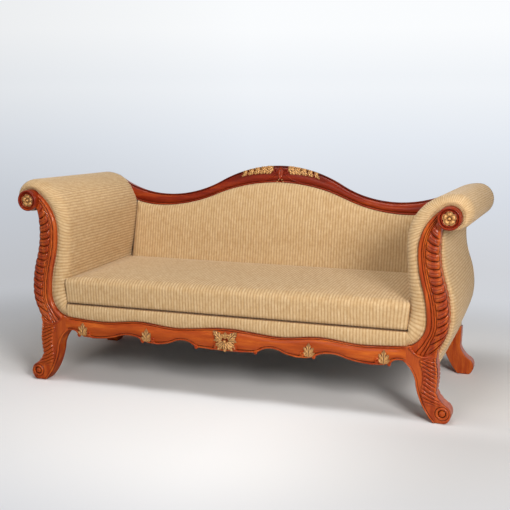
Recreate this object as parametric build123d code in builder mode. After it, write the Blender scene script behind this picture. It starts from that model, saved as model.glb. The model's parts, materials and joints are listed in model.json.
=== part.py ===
from build123d import *
import os
from math import cos, radians, sin, sqrt, tan

os.makedirs("parts", exist_ok=True)

# A carved show-wood sofa with lyre arms and one loose bench cushion.
# X runs along the seat, -Y is the front, Z is up, and the origin is on the floor below the middle.
# All lengths are in millimetres and the right-hand pieces are mirrored for the left.

# Clearances
soft_gap = 0.3  # padding to what it lies against
joint_gap = 0.3  # shaped wood joints
drill_gap = 0.1  # hole radius over the peg in it
slide_gap = 1.0  # loose cushion to the arm beside it

# Seat frame
seat_half = 722.0  # middle of the seat to the inside of an arm
front_line = -340.0  # back of the carved front rail
leg_height = 208.0  # floor to the underside of the rails
rail_height = 60.0
rail_thickness = 40.0
stretcher_height = 36.0
stretcher_width = 50.0
block_leg = 85.0  # side of a triangular corner block
block_height = 36.0
edge_round = 4.0
inner_floor_rise = 20.0  # dust cover above the underside of the rails
dust_cover_thickness = 1.5

# Webbing
webbing_thickness = 1.5
webbing_width = 60.0
seat_strap_count = 9
cross_strap_count = 4
back_strap_count = 8
strap_inset = 5.0  # end of a strap from the edge of its rail

# Deck and cushion
deck_height = 73.0  # rail top to the top of the sprung deck
deck_bulge = 13.0  # front border stands forward of the rail's back
cushion_thickness = 114.0
cushion_crown = 9.0
cushion_draw = 6.0  # sides pulled in between the corners
cushion_overhang = 4.0  # cushion front past the back of the carved rail
cover_thickness = 3.0
cushion_foot = ((0, 12), (6, 3), (18, 0))  # height above the deck, inset of the outline
cushion_shoulder = ((16, 0), (4, 5), (0, 16))  # depth below the shoulder, inset of the outline
crown_inset = 130.0  # flat middle of the crown from the cushion's edge
border_foot_rise = 18.0  # foot of the deck's front border above the carved rail
deck_back_gap = 2.0

# Carved front rail
apron_thickness = 16.0
field_rise = 6.0  # raised middle of the carved rail
field_margin = 9.0
apron_top_above_rail = 7.0
apron_drop_below_rail = 4.0
apron_wave = ((0, 16), (0.3, 0), (0.53, 13), (0.755, -1))  # share of half the length, rise
apron_end_rise = 8.0
apron_arch = 24.0  # height of the scallops in the lower edge
apron_drops = (0.18, 0.484, 0.89)  # share of half the length where each drop ends
arch_shares = (0.24, 0.48, 0.7)  # crown, turn and foot of a scallop between two drops
last_arch = 0.95
drop_lip = 2.0  # ends of a drop above its middle
middle_drop = 3.0
rail_hide = 4.0  # front seat rail stays this far above the scallops
leaf_length = 60.0
leaf_width = 46.0
leaf_relief = 7.0
leaf_places = (0.478, 0.885)  # share of half the length
leaf_base = 14.0  # above the lower edge
leaf_petals = (((90,), 0.8, 0.42), ((48, 132), 0.62, 0.36), ((6, 174), 0.42, 0.3))  # degrees, length, width
cartouche_lift = 4.0
cartouche_relief = 6.3
cartouche_petals = (
    ((40, 140, 220, 320), 54, 24),  # degrees, length, width
    ((0, 180), 52, 28),
    ((90,), 39, 27),
    ((270,), 39, 31),
)
pearl_radius = 15.0
pearl_relief = 9.0

# Legs
glide_height = 3.0
glide_radius = 15.0
sole_width = 52.0
rear_leg_thickness = 50.0
rear_leg_out = 117.0  # outer side at the rail, from the inside of the arm
knee_rise = 18.0  # inner end of the knee above the rails
knee_bow = 4.0
knee_out = 113.0  # outer end of the knee from the inside of the arm
knee_top = 32.0
knee_swell = 119.0
knee_swell_drop = 12.0
shank_in = 35.0  # leg below the knee, from the inside of the arm
shank_drop = 53.0
sweep_out = 56.0  # inner side half way down the shank
sole_out = 104.0  # inner edge of the sole from the inside of the arm
ankle_out = 114.0
ankle_height = 118.0
hollow_out = 130.0  # hollow between the ankle and the foot scroll
hollow_height = 88.0
foot_eye_in = 16.0  # centre of the foot scroll from the outer edge of the sole
foot_eye_height = 38.0
foot_scroll_radius = 23.0
foot_scroll_relief = 5.0
foot_ring = 8.0
foot_button = 9.0
foot_rim = 9.0  # wood round the foot scroll
heel_turn = 55.0  # degrees round the foot scroll where the ankle begins
knee_lobe_count = 4
knee_lobe_length = 34.0
knee_lobe_width = 15.0
knee_lobe_out = 104.0  # first lobe from the inside of the arm
knee_lobe_shift = 10.0  # last lobe further in
knee_lobe_top = 26.0  # first lobe above the rails
knee_lobe_run = 96.0
knee_lobe_turn = 40.0
knee_lobe_fan = 8.0

# Leaning back
rake = 12.0  # degrees from upright
back_line = 175.6  # where the face of the back frame would meet the floor
post_knee = 350.0  # height where the post starts to lean
post_foot = 80.0  # depth of the post at the seat rail
crest_lip = 2.0  # crest stands this far behind the outside back
back_rail_rise = 40.0  # above the seat rails
back_rail_height = 44.0
back_rail_thickness = 30.0
back_upright_width = 46.0
back_pad_thickness = 30.0
pad_waist_drop = 40.0  # straight part of the pad's side below the crest
pad_steps = ((0.5, 0), (0.8, 9), (1, 34))  # share of the thickness, inset of the outline
outer_back_thickness = 8.0

# Crest rail, heights measured up the slope
crest_proud = 8.0  # front of the crest beyond the back frame
crest_thickness = 42.0
crest_overreach = 108.0  # crest end beyond the inside of the arm
crest_peak = 897.0
crest_low = 751.0
crest_low_x = 545.0
crest_end_radius = 520.0
crest_middle_height = 77.0
crest_low_height = 54.0
under_low_shift = 45.0  # low point of the lower edge is further out
under_end_radius = 430.0
hump_share = 0.52  # part of the fall that the middle hump takes
crest_bevel = 9.0
crest_bevel_back = 6.3
spray_leaf_count = 5
spray_leaf_length = 52.0
spray_leaf_width = 22.0
spray_relief = 6.0
spray_start = 34.0  # first leaf from the middle
spray_step = 32.0
spray_below = 32.0  # first leaf below the peak
spray_fall = 1150.0  # larger for a flatter row of leaves
spray_turn = 30.0
spray_fan = 12.0
volute_radius = 19.0
volute_relief = 7.0
volute_below = 52.0
volute_ring = 7.0
volute_eye = 6.0
volute_gap = 3.0

# Arms
roll_out = 161.0  # roll centre beyond the inside of the arm
roll_height = 789.0  # roll centre at the front
roll_radius = 66.0
roll_drop = 28.0  # fall of the roll from front to back
arm_lean = 14.0  # inside arm leans this far over the seat
lean_start = 130.0  # above the deck, where the lean begins
shoulder_depth = 109.0  # below the roll centre, where the shoulder begins
roll_turn = -10.0  # degrees round the roll where its two arcs meet
tuck_angle = -118.0  # degrees round the roll where the outside arm is tucked in
core_in = 64.0  # inside of the arm to its frame
frame_in = 58.0  # inside of the arm to the side rail and the back post
arm_front_set = 12.0  # padding starts this far behind the face of the facing
arm_front_round = 20.0
front_round_depth = 44.0
round_steps = ((0, 1), (0.32, 0.35), (1, 0))  # share of the depth, share of the rounding
rear_reach = 20.0  # arm runs on behind the face of the back frame
panel_thickness = 12.0
panel_head_out = 8.0  # outside arm beyond the facing's outer edge, at its head
panel_waist_out = 4.0
panel_swell = 5.0
hem_height = 42.0
arm_rail_width = 104.0
arm_rail_height = 50.0
arm_rail_lift = 4.0
arm_rail_round = 12.0
tack_rail_height = 35.0
tack_rail_lift = 34.0  # slot between the side rail and the tack rail
tack_rail_width = 34.0
rear_board_thickness = 28.0
board_share = 0.7  # radius of the board in the roll
board_neck_angle = -110.0

# Carved arm facing
facing_back_step = 33.0  # back of the facing behind the back of the carved rail
facing_thickness = 50.0
facing_width = 78.0
facing_waist_in = 33.0  # waist of the facing from the inside of the arm
facing_bulge_in = 71.0
facing_waist_drop = 130.0  # waist below the eye
facing_bulge_rise = 112.0  # bulge above the rail top
facing_swell = 4.0  # facing is this much wider at the bulge
facing_toe_rise = 16.0
toe_in = 15.0
toe_width = 102.0
toe_depth = 31.0
toe_tilt = 5.0  # inner end of the toe above the outer end
scroll_start = 100.0  # degrees round the eye where the inner edge arrives
scroll_end = 230.0
facing_skew = 12.0  # outer edge turns this much higher than the inner edge
eye_set = 14.0  # eye of the scroll in from the centre of the roll, and below it
eye_radius = 42.0
eye_height = 27.0
eye_rim = 7.0
rosette_radius = 30.0
rosette_relief = 6.0
petal_count = 6
petal_width = 24.0
button_radius = 10.0
button_relief = 12.0
reed_width = 8.0
reed_height = 5.0
reed_steps = (11.0, 24.0)  # reed centres from the inner edge
reed_toe_in = 14.0
reed_toe_lift = 4.0
reed_eye_gap = 3.0
reed_eye_angle = 112.0
reed_fan = 2.0  # degrees round the eye for each millimetre of step
lobe_count = 15
lobe_length = 41.0
lobe_width = 17.0
lobe_height = 6.0
lobe_slant = 52.0  # degrees between a lobe and the edge
lobe_inset = 22.0
lobe_slope = 3.5  # a lobe narrows this much on each side as it rises
lobe_end_gap = 6.0
lobe_top_angle = 215.0

# Pegs and screws
dowel_radius = 5.0
dowel_length = 60.0
dowel_spacing = 26.0
screw_radius = 2.5
screw_length = 56.0
screw_step = 10.0  # height between the two screws of a corner block

# Places worked out from the sizes above
lean = radians(rake)
rail_bottom = leg_height
rail_top = leg_height + rail_height
deck_top = rail_top + deck_height
apron_face = front_line - apron_thickness - field_rise
leg_front = apron_face
rail_back = front_line + rail_thickness
facing_back = front_line + facing_back_step
facing_front = facing_back - facing_thickness
arm_front = facing_front + arm_front_set
roll_x = seat_half + roll_out
core_x = seat_half + core_in
frame_x = seat_half + frame_in
side_rail_out = frame_x + rail_thickness
crest_half = seat_half + crest_overreach
deck_bottom = rail_top + 2 * webbing_thickness + 2 * soft_gap
apron_top = rail_top + apron_top_above_rail
apron_bottom = rail_bottom - apron_drop_below_rail


def lean_y(height):
    """Depth of the face of the back frame at a height."""
    return back_line + height * tan(lean)


rear_face = lean_y(post_knee)
outer_foot = rear_face + post_foot
outer_head_z = crest_low * cos(lean)
crest_depth = (crest_thickness - crest_proud) / cos(lean)
outer_head = lean_y(outer_head_z) + crest_depth - outer_back_thickness - crest_lip


def outer_back_y(height):
    """Depth of the inner face of the outside back at a height."""
    return outer_foot + (outer_head - outer_foot) * (height - rail_bottom) / (outer_head_z - rail_bottom)


def upright(y):
    """Plane that faces the front at depth y, with X right and Z up in its sketches."""
    return Plane.XZ.offset(-y)


def back_plane(forward):
    """Plane of the leaning back, this far in front of the back frame."""
    face = Plane(origin=(0, back_line, 0), x_dir=(1, 0, 0), z_dir=(0, -cos(lean), sin(lean)))
    return face.offset(forward)


def save(piece, name):
    piece.part.label = name
    export_step(piece.part, f"parts/{name}.step")


def save_pair(piece, name):
    """Writes a right-hand piece and its mirror image."""
    with BuildPart() as twin:
        mirror(piece.part, about=Plane.YZ)
    save(piece, f"{name}_right")
    save(twin, f"{name}_left")


def s_curve(top, bottom):
    """Two equal arcs that are upright at both ends."""
    middle = ((top[0] + bottom[0]) / 2, (top[1] + bottom[1]) / 2)
    TangentArc(top, middle, tangent=(0, -1))
    TangentArc(bottom, middle, tangent=(0, 1))


def around(centre, radius, angle):
    """Point on a circle, angle in degrees."""
    return (centre[0] + radius * cos(radians(angle)), centre[1] + radius * sin(radians(angle)))


def petal(base, angle, length, width):
    """Pointed leaf face from its base."""
    start = Vector(*base)
    along = Vector(length, 0).rotate(Axis.Z, angle)
    side = Vector(0, width / 2).rotate(Axis.Z, angle)
    with BuildLine() as outline:
        ThreePointArc(start, start + along * 0.5 + side, start + along)
        ThreePointArc(start, start + along * 0.5 - side, start + along)
    make_face(outline.edges())


def raise_lobe(y, place, length, width, turn):
    """One gadroon: a long rounded lobe that narrows as it rises."""
    with BuildSketch(upright(y)) as foot:
        with Locations(place):
            SlotOverall(length, width, rotation=turn)
    with BuildSketch(upright(y - lobe_height)) as crown:
        with Locations(place):
            SlotOverall(length - 2 * lobe_slope, width - 2 * lobe_slope, rotation=turn)
    loft([foot.sketch, crown.sketch], ruled=True)


# Carved arm facing: an S-shaped board that ends in the eye of the scroll
eye = (roll_x - eye_set, roll_height - eye_set)
inner_waist = (seat_half + facing_waist_in, eye[1] - facing_waist_drop)
inner_bulge = (seat_half + facing_bulge_in, rail_top + facing_bulge_rise)
outer_waist = (inner_waist[0] + facing_width, inner_waist[1] + facing_skew)
outer_bulge = (inner_bulge[0] + facing_width + facing_swell, inner_bulge[1] + facing_skew)
toe_inner = (seat_half + toe_in, rail_top + facing_toe_rise + toe_tilt)
toe_outer = (toe_inner[0] + toe_width, rail_top + facing_toe_rise)
toe_bottom = (toe_inner[0] + toe_width / 2, toe_outer[1] - toe_depth)
scroll_top = around(eye, eye_radius, scroll_start)
scroll_under = around(eye, eye_radius, scroll_end)
scroll_side = around(eye, eye_radius, (scroll_start + scroll_end) / 2 - 180)


def draw_facing():
    with BuildLine() as outline:
        s_curve(inner_waist, inner_bulge)
        TangentArc(inner_waist, scroll_top, tangent=(0, 1))
        ThreePointArc(scroll_top, scroll_side, scroll_under)
        TangentArc(outer_waist, scroll_under, tangent=(0, 1))
        s_curve(outer_waist, outer_bulge)
        TangentArc(outer_bulge, toe_outer, tangent=(0, -1))
        ThreePointArc(toe_outer, toe_bottom, toe_inner)
        TangentArc(inner_bulge, toe_inner, tangent=(0, -1))
    make_face(outline.edges())


with BuildLine(upright(facing_front)) as lobe_line:
    lobe_waist = (outer_waist[0] - lobe_inset, outer_waist[1])
    lobe_bulge = (outer_bulge[0] - lobe_inset, outer_bulge[1])
    s_curve(lobe_waist, lobe_bulge)
    TangentArc(lobe_waist, around(eye, eye_radius + lobe_end_gap, lobe_top_angle), tangent=(0, 1))
    TangentArc(lobe_bulge, (toe_outer[0] - lobe_inset, toe_outer[1] + lobe_end_gap), tangent=(0, -1))

with BuildPart() as arm_facing:
    with BuildSketch(upright(facing_back)):
        draw_facing()
    extrude(amount=facing_thickness)
    with BuildSketch(upright(facing_front)):
        for step in reed_steps:
            reed_waist = (inner_waist[0] + step, inner_waist[1])
            reed_bulge = (inner_bulge[0] + step, inner_bulge[1])
            reed_toe = (toe_inner[0] + reed_toe_in + step, toe_inner[1] + reed_toe_lift - step / 2)
            reed_end = around(eye, eye_radius + reed_eye_gap, reed_eye_angle + reed_fan * step)
            with BuildLine():
                s_curve(reed_waist, reed_bulge)
                TangentArc(reed_waist, reed_end, tangent=(0, 1))
                TangentArc(reed_bulge, reed_toe, tangent=(0, -1))
            trace(line_width=reed_width)
    extrude(amount=reed_height)
    lobe_path = lobe_line.wire()
    for i in range(lobe_count):
        distance = lobe_path.length * (i + 0.5) / lobe_count
        place = lobe_path.position_at(distance, position_mode=PositionMode.LENGTH)
        way = lobe_path.tangent_at(distance, position_mode=PositionMode.LENGTH)
        if way.Z < 0:
            way = way * -1
        turn = Vector(1, 0, 0).get_signed_angle(Vector(way.X, way.Z, 0), Vector(0, 0, 1))
        raise_lobe(facing_front, (place.X, place.Z), lobe_length, lobe_width, turn - lobe_slant)
    with BuildSketch(upright(facing_front)):
        with Locations(eye):
            Circle(eye_radius + joint_gap)
    extrude(amount=2 * lobe_height, mode=Mode.SUBTRACT)
save_pair(arm_facing, "arm_facing")

with BuildPart() as arm_roundel:
    with BuildSketch(upright(facing_front)):
        with Locations(eye):
            Circle(eye_radius)
    extrude(amount=eye_height)
    with BuildSketch(upright(facing_front - eye_height)):
        with Locations(eye):
            Circle(eye_radius - eye_rim)
    extrude(amount=-eye_rim, mode=Mode.SUBTRACT)
    rims = arm_roundel.edges().filter_by(GeomType.CIRCLE)
    fillet(rims.group_by(Axis.Y)[0].sort_by(SortBy.RADIUS)[-1], eye_rim / 3)
save_pair(arm_roundel, "arm_roundel")

with BuildPart() as arm_rosette:
    rosette_back = facing_front - eye_height + eye_rim
    with BuildSketch(upright(rosette_back)):
        for i in range(petal_count):
            petal(eye, 90 + i * 360 / petal_count, rosette_radius, petal_width)
    extrude(amount=rosette_relief)
    with BuildSketch(upright(rosette_back)):
        with Locations(eye):
            Circle(button_radius)
    extrude(amount=button_relief)
    fillet(arm_rosette.faces().sort_by(Axis.Y)[0].edges(), rosette_relief / 2)
save_pair(arm_rosette, "arm_rosette")

# Legs: a scroll foot below a plain cabriole sweep
knee_inner = (seat_half, rail_bottom + knee_rise)
leg_inner = (seat_half + shank_in, rail_bottom - shank_drop)
sole_inner = seat_half + sole_out
sole_outer = sole_inner + sole_width
foot_eye = (sole_outer - foot_eye_in, glide_height + foot_eye_height)
ankle = (seat_half + ankle_out, glide_height + ankle_height)
leg_outer = (seat_half + knee_out, rail_bottom + knee_top)


def draw_leg_sides(top_inner):
    """Inner sweep, sole, scroll foot and outer sweep, from the knee down and up again."""
    middle = ((top_inner[0] + leg_inner[0]) / 2 + knee_bow, (top_inner[1] + leg_inner[1]) / 2 + knee_bow)
    ThreePointArc(top_inner, middle, leg_inner)
    ThreePointArc(leg_inner, (seat_half + sweep_out, leg_inner[1] / 2), (sole_inner, glide_height))
    Line((sole_inner, glide_height), (sole_outer, glide_height))
    heel = around(foot_eye, foot_scroll_radius + foot_rim, heel_turn)
    ThreePointArc((sole_outer, glide_height), around(foot_eye, foot_scroll_radius + foot_rim, 0), heel)
    ThreePointArc(heel, (seat_half + hollow_out, glide_height + hollow_height), ankle)


def draw_front_leg():
    with BuildLine() as outline:
        draw_leg_sides(knee_inner)
        ThreePointArc(ankle, (seat_half + knee_swell, rail_bottom - knee_swell_drop), leg_outer)
        Line(leg_outer, (toe_outer[0], toe_outer[1] - joint_gap))
        ThreePointArc(
            (toe_outer[0], toe_outer[1] - joint_gap),
            (toe_bottom[0], toe_bottom[1] - joint_gap),
            (toe_inner[0], toe_inner[1] - joint_gap),
        )
        Line((toe_inner[0], toe_inner[1] - joint_gap), (seat_half, apron_top + apron_end_rise))
        Line((seat_half, apron_top + apron_end_rise), knee_inner)
    make_face(outline.edges())


def drill(*tools):
    """Cuts the holes for pegs or screws in the piece being made."""
    for tool in tools:
        add(tool.part, mode=Mode.SUBTRACT)


def lay_dowels(radius):
    """Pegs across the four corner joints of the seat frame."""
    for side in (-1, 1):
        for x, y in ((seat_half, (front_line + rail_back) / 2), (frame_x, rear_face + rail_thickness / 2)):
            for rise in (-0.5, 0.5):
                z = rail_bottom + inner_floor_rise + block_height / 2 + rise * dowel_spacing
                with Locations(Location((side * x, y, z), (0, 90, 0))):
                    Cylinder(radius, dowel_length)


with BuildPart() as rail_dowels:
    lay_dowels(dowel_radius)
save(rail_dowels, "rail_dowels")

with BuildPart() as dowel_drill:
    lay_dowels(dowel_radius + drill_gap)

corners = [(x, y) for x in (-1, 1) for y in (-1, 1)]


def lay_screws(radius, length):
    """Two screws through each corner block, one into each rail beside it."""
    height = rail_bottom + inner_floor_rise + block_height / 2
    for x_side, y_side in corners:
        y_edge = rail_back if y_side < 0 else rear_face
        across = (x_side * (frame_x - block_leg / 2), y_edge, height)
        along = (x_side * frame_x, y_edge - y_side * block_leg / 2, height - screw_step)
        into_long_rail = Plane(origin=across, z_dir=(0, y_side, 0))
        into_side_rail = Plane(origin=along, z_dir=(x_side, 0, 0))
        with Locations(into_long_rail, into_side_rail):
            Cylinder(radius, length)


with BuildPart() as screw_drill:
    lay_screws(screw_radius + drill_gap, screw_length + 2 * drill_gap)

with BuildPart() as corner_block_screws:
    lay_screws(screw_radius, screw_length)
save(corner_block_screws, "corner_block_screws")

with BuildPart() as front_leg:
    with BuildSketch(upright(rail_back)):
        draw_front_leg()
    extrude(amount=rail_back - leg_front)
    with BuildSketch(upright(leg_front)):
        with Locations(foot_eye):
            Circle(foot_scroll_radius)
            Circle(foot_scroll_radius - foot_ring, mode=Mode.SUBTRACT)
        with Locations(foot_eye):
            Circle(foot_button)
    extrude(amount=foot_scroll_relief)
    for i in range(knee_lobe_count):
        share = i / (knee_lobe_count - 1)
        x = seat_half + knee_lobe_out - knee_lobe_shift * share
        z = rail_bottom + knee_lobe_top - knee_lobe_run * share
        turn = knee_lobe_turn - knee_lobe_fan * share
        raise_lobe(leg_front, (x, z), knee_lobe_length, knee_lobe_width, turn)
    drill(dowel_drill, screw_drill)
save_pair(front_leg, "front_leg")

rear_leg_back = outer_foot + outer_back_thickness
with BuildPart() as rear_leg:
    with BuildSketch(upright(rear_leg_back)):
        with BuildLine():
            draw_leg_sides((leg_inner[0], rail_bottom))
            Line(ankle, (seat_half + rear_leg_out, rail_bottom))
            Line((seat_half + rear_leg_out, rail_bottom), (leg_inner[0], rail_bottom))
        make_face()
    extrude(amount=rear_leg_thickness)
save_pair(rear_leg, "rear_leg")

with BuildPart() as foot_glides:
    front_leg_middle = (leg_front + rail_back) / 2
    rear_leg_middle = rear_leg_back - rear_leg_thickness / 2
    for side in (-1, 1):
        for y in (front_leg_middle, rear_leg_middle):
            with Locations((side * (sole_inner + sole_outer) / 2, y, glide_height / 2)):
                Cylinder(glide_radius, glide_height)
save(foot_glides, "foot_glides")


# Carved front rail with a waved top and a scalloped lower edge
def draw_apron(margin):
    half = seat_half - margin / 2
    wave = (*apron_wave, (1, apron_end_rise))
    right = [(share * half, apron_top + rise - margin) for share, rise in wave]
    left = [(-x, z) for x, z in reversed(right[1:])]
    low = apron_bottom + margin
    lip = low + drop_lip
    with BuildLine() as outline:
        Spline(*left, *right)
        middle_end = apron_drops[0] * half
        ThreePointArc((-middle_end, lip), (0, low - middle_drop + margin / 3), (middle_end, lip))
        for side in (-1, 1):
            for start, end in zip(apron_drops[:-1], apron_drops[1:]):
                run = (end - start) * half
                crown, turn, foot = [side * (start * half + share * run) for share in arch_shares]
                half_way = (turn, low + apron_arch / 2)
                ThreePointArc((side * start * half, lip), (crown, low + apron_arch), half_way)
                ThreePointArc(half_way, (foot, low), (side * end * half, lip))
            last = (side * apron_drops[-1] * half, lip)
            corner = (side * half, low + apron_arch - drop_lip)
            ThreePointArc(last, (side * last_arch * half, low + apron_arch), corner)
            Line(corner, (side * half, apron_top + apron_end_rise - margin))
    make_face(outline.edges())


with BuildPart() as front_apron:
    with BuildSketch(upright(front_line)):
        draw_apron(0)
    extrude(amount=apron_thickness)
    with BuildSketch(upright(front_line - apron_thickness)):
        draw_apron(field_margin)
    extrude(amount=field_rise)
save(front_apron, "front_apron")

with BuildPart() as apron_leaves:
    with BuildSketch(upright(apron_face)):
        for share in leaf_places:
            for side in (-1, 1):
                base = (side * share * seat_half, apron_bottom + leaf_base)
                for angles, length, width in leaf_petals:
                    for angle in angles:
                        petal(base, angle, leaf_length * length, leaf_width * width)
    extrude(amount=leaf_relief)
save(apron_leaves, "apron_leaves")

with BuildPart() as apron_cartouche:
    middle = (0, (apron_top + apron_bottom) / 2 + cartouche_lift)
    with BuildSketch(upright(apron_face)):
        for angles, length, width in cartouche_petals:
            for angle in angles:
                petal(middle, angle, length, width)
    extrude(amount=cartouche_relief)
    with BuildSketch(upright(apron_face)):
        with Locations(middle):
            Circle(pearl_radius)
    extrude(amount=pearl_relief)
save(apron_cartouche, "apron_cartouche")

# Seat frame
front_rail_bottom = apron_bottom + apron_arch + rail_hide
with BuildPart() as front_seat_rail:
    with BuildSketch(Plane.XY.offset(front_rail_bottom)):
        with Locations((0, (front_line + rail_back) / 2)):
            Rectangle(2 * seat_half, rail_thickness)
    extrude(amount=rail_top - front_rail_bottom)
    drill(dowel_drill, screw_drill)
save(front_seat_rail, "front_seat_rail")

rear_rail_back = rear_face + rail_thickness
with BuildPart() as rear_seat_rail:
    with BuildSketch(Plane.XY.offset(rail_bottom)):
        with Locations((0, (rear_face + rear_rail_back) / 2)):
            Rectangle(2 * frame_x, rail_thickness)
    extrude(amount=rail_height)
    drill(dowel_drill, screw_drill)
save(rear_seat_rail, "rear_seat_rail")

with BuildPart() as side_seat_rail:
    with BuildSketch(Plane.XY.offset(rail_bottom)):
        with Locations(((frame_x + side_rail_out) / 2, (rail_back + rear_face) / 2)):
            Rectangle(rail_thickness, rear_face - rail_back)
    extrude(amount=rail_height)
    drill(screw_drill)
save_pair(side_seat_rail, "side_seat_rail")

with BuildPart() as seat_stretcher:
    with BuildSketch(Plane.XY.offset(rail_bottom + inner_floor_rise)):
        with Locations((0, (rail_back + rear_face) / 2)):
            Rectangle(stretcher_width, rear_face - rail_back)
    extrude(amount=stretcher_height)
    fillet(seat_stretcher.edges().filter_by(Axis.Y), edge_round)
save(seat_stretcher, "seat_stretcher")

with BuildPart() as corner_blocks:
    with BuildSketch(Plane.XY.offset(rail_bottom + inner_floor_rise)):
        for x_side, y_side in corners:
            y_edge = rail_back if y_side < 0 else rear_face
            corner = (x_side * frame_x, y_edge)
            with BuildLine():
                Polyline(
                    corner,
                    (x_side * (frame_x - block_leg), y_edge),
                    (x_side * frame_x, y_edge - y_side * block_leg),
                    close=True,
                )
            make_face()
    extrude(amount=block_height)
    drill(screw_drill)
save(corner_blocks, "corner_blocks")

with BuildPart() as seat_webbing:
    length = rear_rail_back - front_line - 2 * strap_inset
    with BuildSketch(Plane.XY.offset(rail_top)):
        with Locations((0, (front_line + rear_rail_back) / 2)):
            with GridLocations(2 * seat_half / seat_strap_count, 0, seat_strap_count, 1):
                Rectangle(webbing_width, length)
    extrude(amount=webbing_thickness)
save(seat_webbing, "seat_webbing")

with BuildPart() as seat_cross_webbing:
    clear_depth = rear_face - rail_back
    with BuildSketch(Plane.XY.offset(rail_top + webbing_thickness + soft_gap)):
        with Locations((0, (rail_back + rear_face) / 2)):
            with GridLocations(0, clear_depth / cross_strap_count, 1, cross_strap_count):
                Rectangle(2 * (frame_x + strap_inset), webbing_width)
    extrude(amount=webbing_thickness)
save(seat_cross_webbing, "seat_cross_webbing")

with BuildPart() as dust_cover:
    with BuildSketch(Plane.XY.offset(rail_bottom + inner_floor_rise - soft_gap)):
        with Locations((0, (rail_back + rear_face) / 2)):
            Rectangle(2 * (frame_x - soft_gap), rear_face - rail_back - 2 * soft_gap)
    extrude(amount=-dust_cover_thickness)
save(dust_cover, "dust_cover")


# Crest rail: a camel-back board on the leaning plane
def camel_back(peak, low_x, low, end_radius, end_x):
    """Half of a camel-back line, as hump, hollow and end arcs; gives the end point."""
    turn = (low_x * hump_share, peak - (peak - low) * hump_share)
    end = (end_x, low + end_radius - sqrt(end_radius**2 - (end_x - low_x) ** 2))
    for side in (-1, 1):
        TangentArc((0, peak), (side * turn[0], turn[1]), tangent=(side, 0))
        TangentArc((side * low_x, low), (side * turn[0], turn[1]), tangent=(-side, 0))
        TangentArc((side * low_x, low), (side * end[0], end[1]), tangent=(side, 0))
    return end


def crest_upper():
    return camel_back(crest_peak, crest_low_x, crest_low, crest_end_radius, crest_half)


def crest_lower(gap, end_x):
    peak = crest_peak - crest_middle_height - gap
    low = crest_low - crest_low_height - gap
    return camel_back(peak, crest_low_x + under_low_shift, low, under_end_radius, end_x)


def draw_crest():
    with BuildLine() as outline:
        top = crest_upper()
        under = crest_lower(0, crest_half)
        for side in (-1, 1):
            Line((side * top[0], top[1]), (side * under[0], under[1]))
    make_face(outline.edges())


def draw_below_crest(gap, floor):
    """Everything under the crest, down to a height on the slope."""
    with BuildLine() as outline:
        under = crest_lower(gap, crest_half)
        wide = under[0] + 2 * roll_radius
        Polyline((-under[0], under[1]), (-wide, under[1]), (-wide, floor))
        Polyline((-wide, floor), (wide, floor), (wide, under[1]), (under[0], under[1]))
    make_face(outline.edges())


with BuildPart() as crest_rail:
    with BuildSketch(back_plane(crest_proud - crest_thickness)):
        draw_crest()
    extrude(amount=crest_thickness)
    front_edges = crest_rail.faces().sort_by(Axis.Y)[0].edges()
    long_edges = front_edges.filter_by(GeomType.CIRCLE)
    chamfer(long_edges, crest_bevel, crest_bevel_back)
save(crest_rail, "crest_rail")

with BuildPart() as crest_pocket:
    with BuildSketch(back_plane(crest_proud - crest_thickness - soft_gap)):
        draw_crest()
        offset(amount=soft_gap)
    extrude(amount=crest_thickness + 2 * soft_gap)

with BuildPart() as below_crest:
    with BuildSketch(back_plane(-3 * post_foot)):
        draw_below_crest(soft_gap, rail_bottom / 2)
    extrude(amount=4 * post_foot)

with BuildPart() as crest_spray:
    with BuildSketch(back_plane(crest_proud)):
        for i in range(spray_leaf_count):
            share = 1 - i / (spray_leaf_count + 1)
            x = spray_start + i * spray_step
            base = (x, crest_peak - spray_below - x * x / spray_fall)
            length = spray_leaf_length * (1 + share) / 2
            petal(base, spray_turn - spray_fan * i, length, spray_leaf_width * share)
    extrude(amount=spray_relief)
save_pair(crest_spray, "crest_spray")

with BuildPart() as crest_volutes:
    with BuildSketch(back_plane(crest_proud)):
        for side in (-1, 1):
            with Locations((side * (volute_radius + volute_gap), crest_peak - volute_below)):
                Circle(volute_radius)
                Circle(volute_radius - volute_ring, mode=Mode.SUBTRACT)
                Circle(volute_eye)
    extrude(amount=volute_relief)
save(crest_volutes, "crest_volutes")

# Back frame
with BuildPart() as behind_back:
    with BuildSketch(Plane.YZ):
        with BuildLine():
            Polyline(
                (outer_back_y(0), 0),
                (outer_back_y(crest_peak), crest_peak),
                (outer_back_y(crest_peak) + 2 * post_foot, crest_peak),
                (outer_back_y(0) + 2 * post_foot, 0),
                close=True,
            )
        make_face()
    extrude(amount=2 * seat_half, both=True)

with BuildPart() as back_post:
    post_top = crest_peak * cos(lean)
    with BuildSketch(Plane.YZ.offset(frame_x)):
        with BuildLine():
            Polyline(
                (rear_face, rail_bottom),
                (rear_face, post_knee),
                (lean_y(post_top), post_top),
                (outer_back_y(post_top) + post_foot, post_top),
                (outer_foot + post_foot, rail_bottom),
                close=True,
            )
        make_face()
    extrude(amount=rail_thickness)
    add(below_crest.part, mode=Mode.INTERSECT)
    add(behind_back.part, mode=Mode.SUBTRACT)
    drill(dowel_drill)
save_pair(back_post, "back_post")

back_rail_bottom = (rail_top + back_rail_rise) / cos(lean)
frame_step = webbing_thickness + soft_gap
with BuildPart() as back_lower_rail:
    with BuildSketch(back_plane(-frame_step)):
        with Locations((0, back_rail_bottom + back_rail_height / 2)):
            Rectangle(2 * frame_x, back_rail_height)
    extrude(amount=-back_rail_thickness)
save(back_lower_rail, "back_lower_rail")

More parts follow.
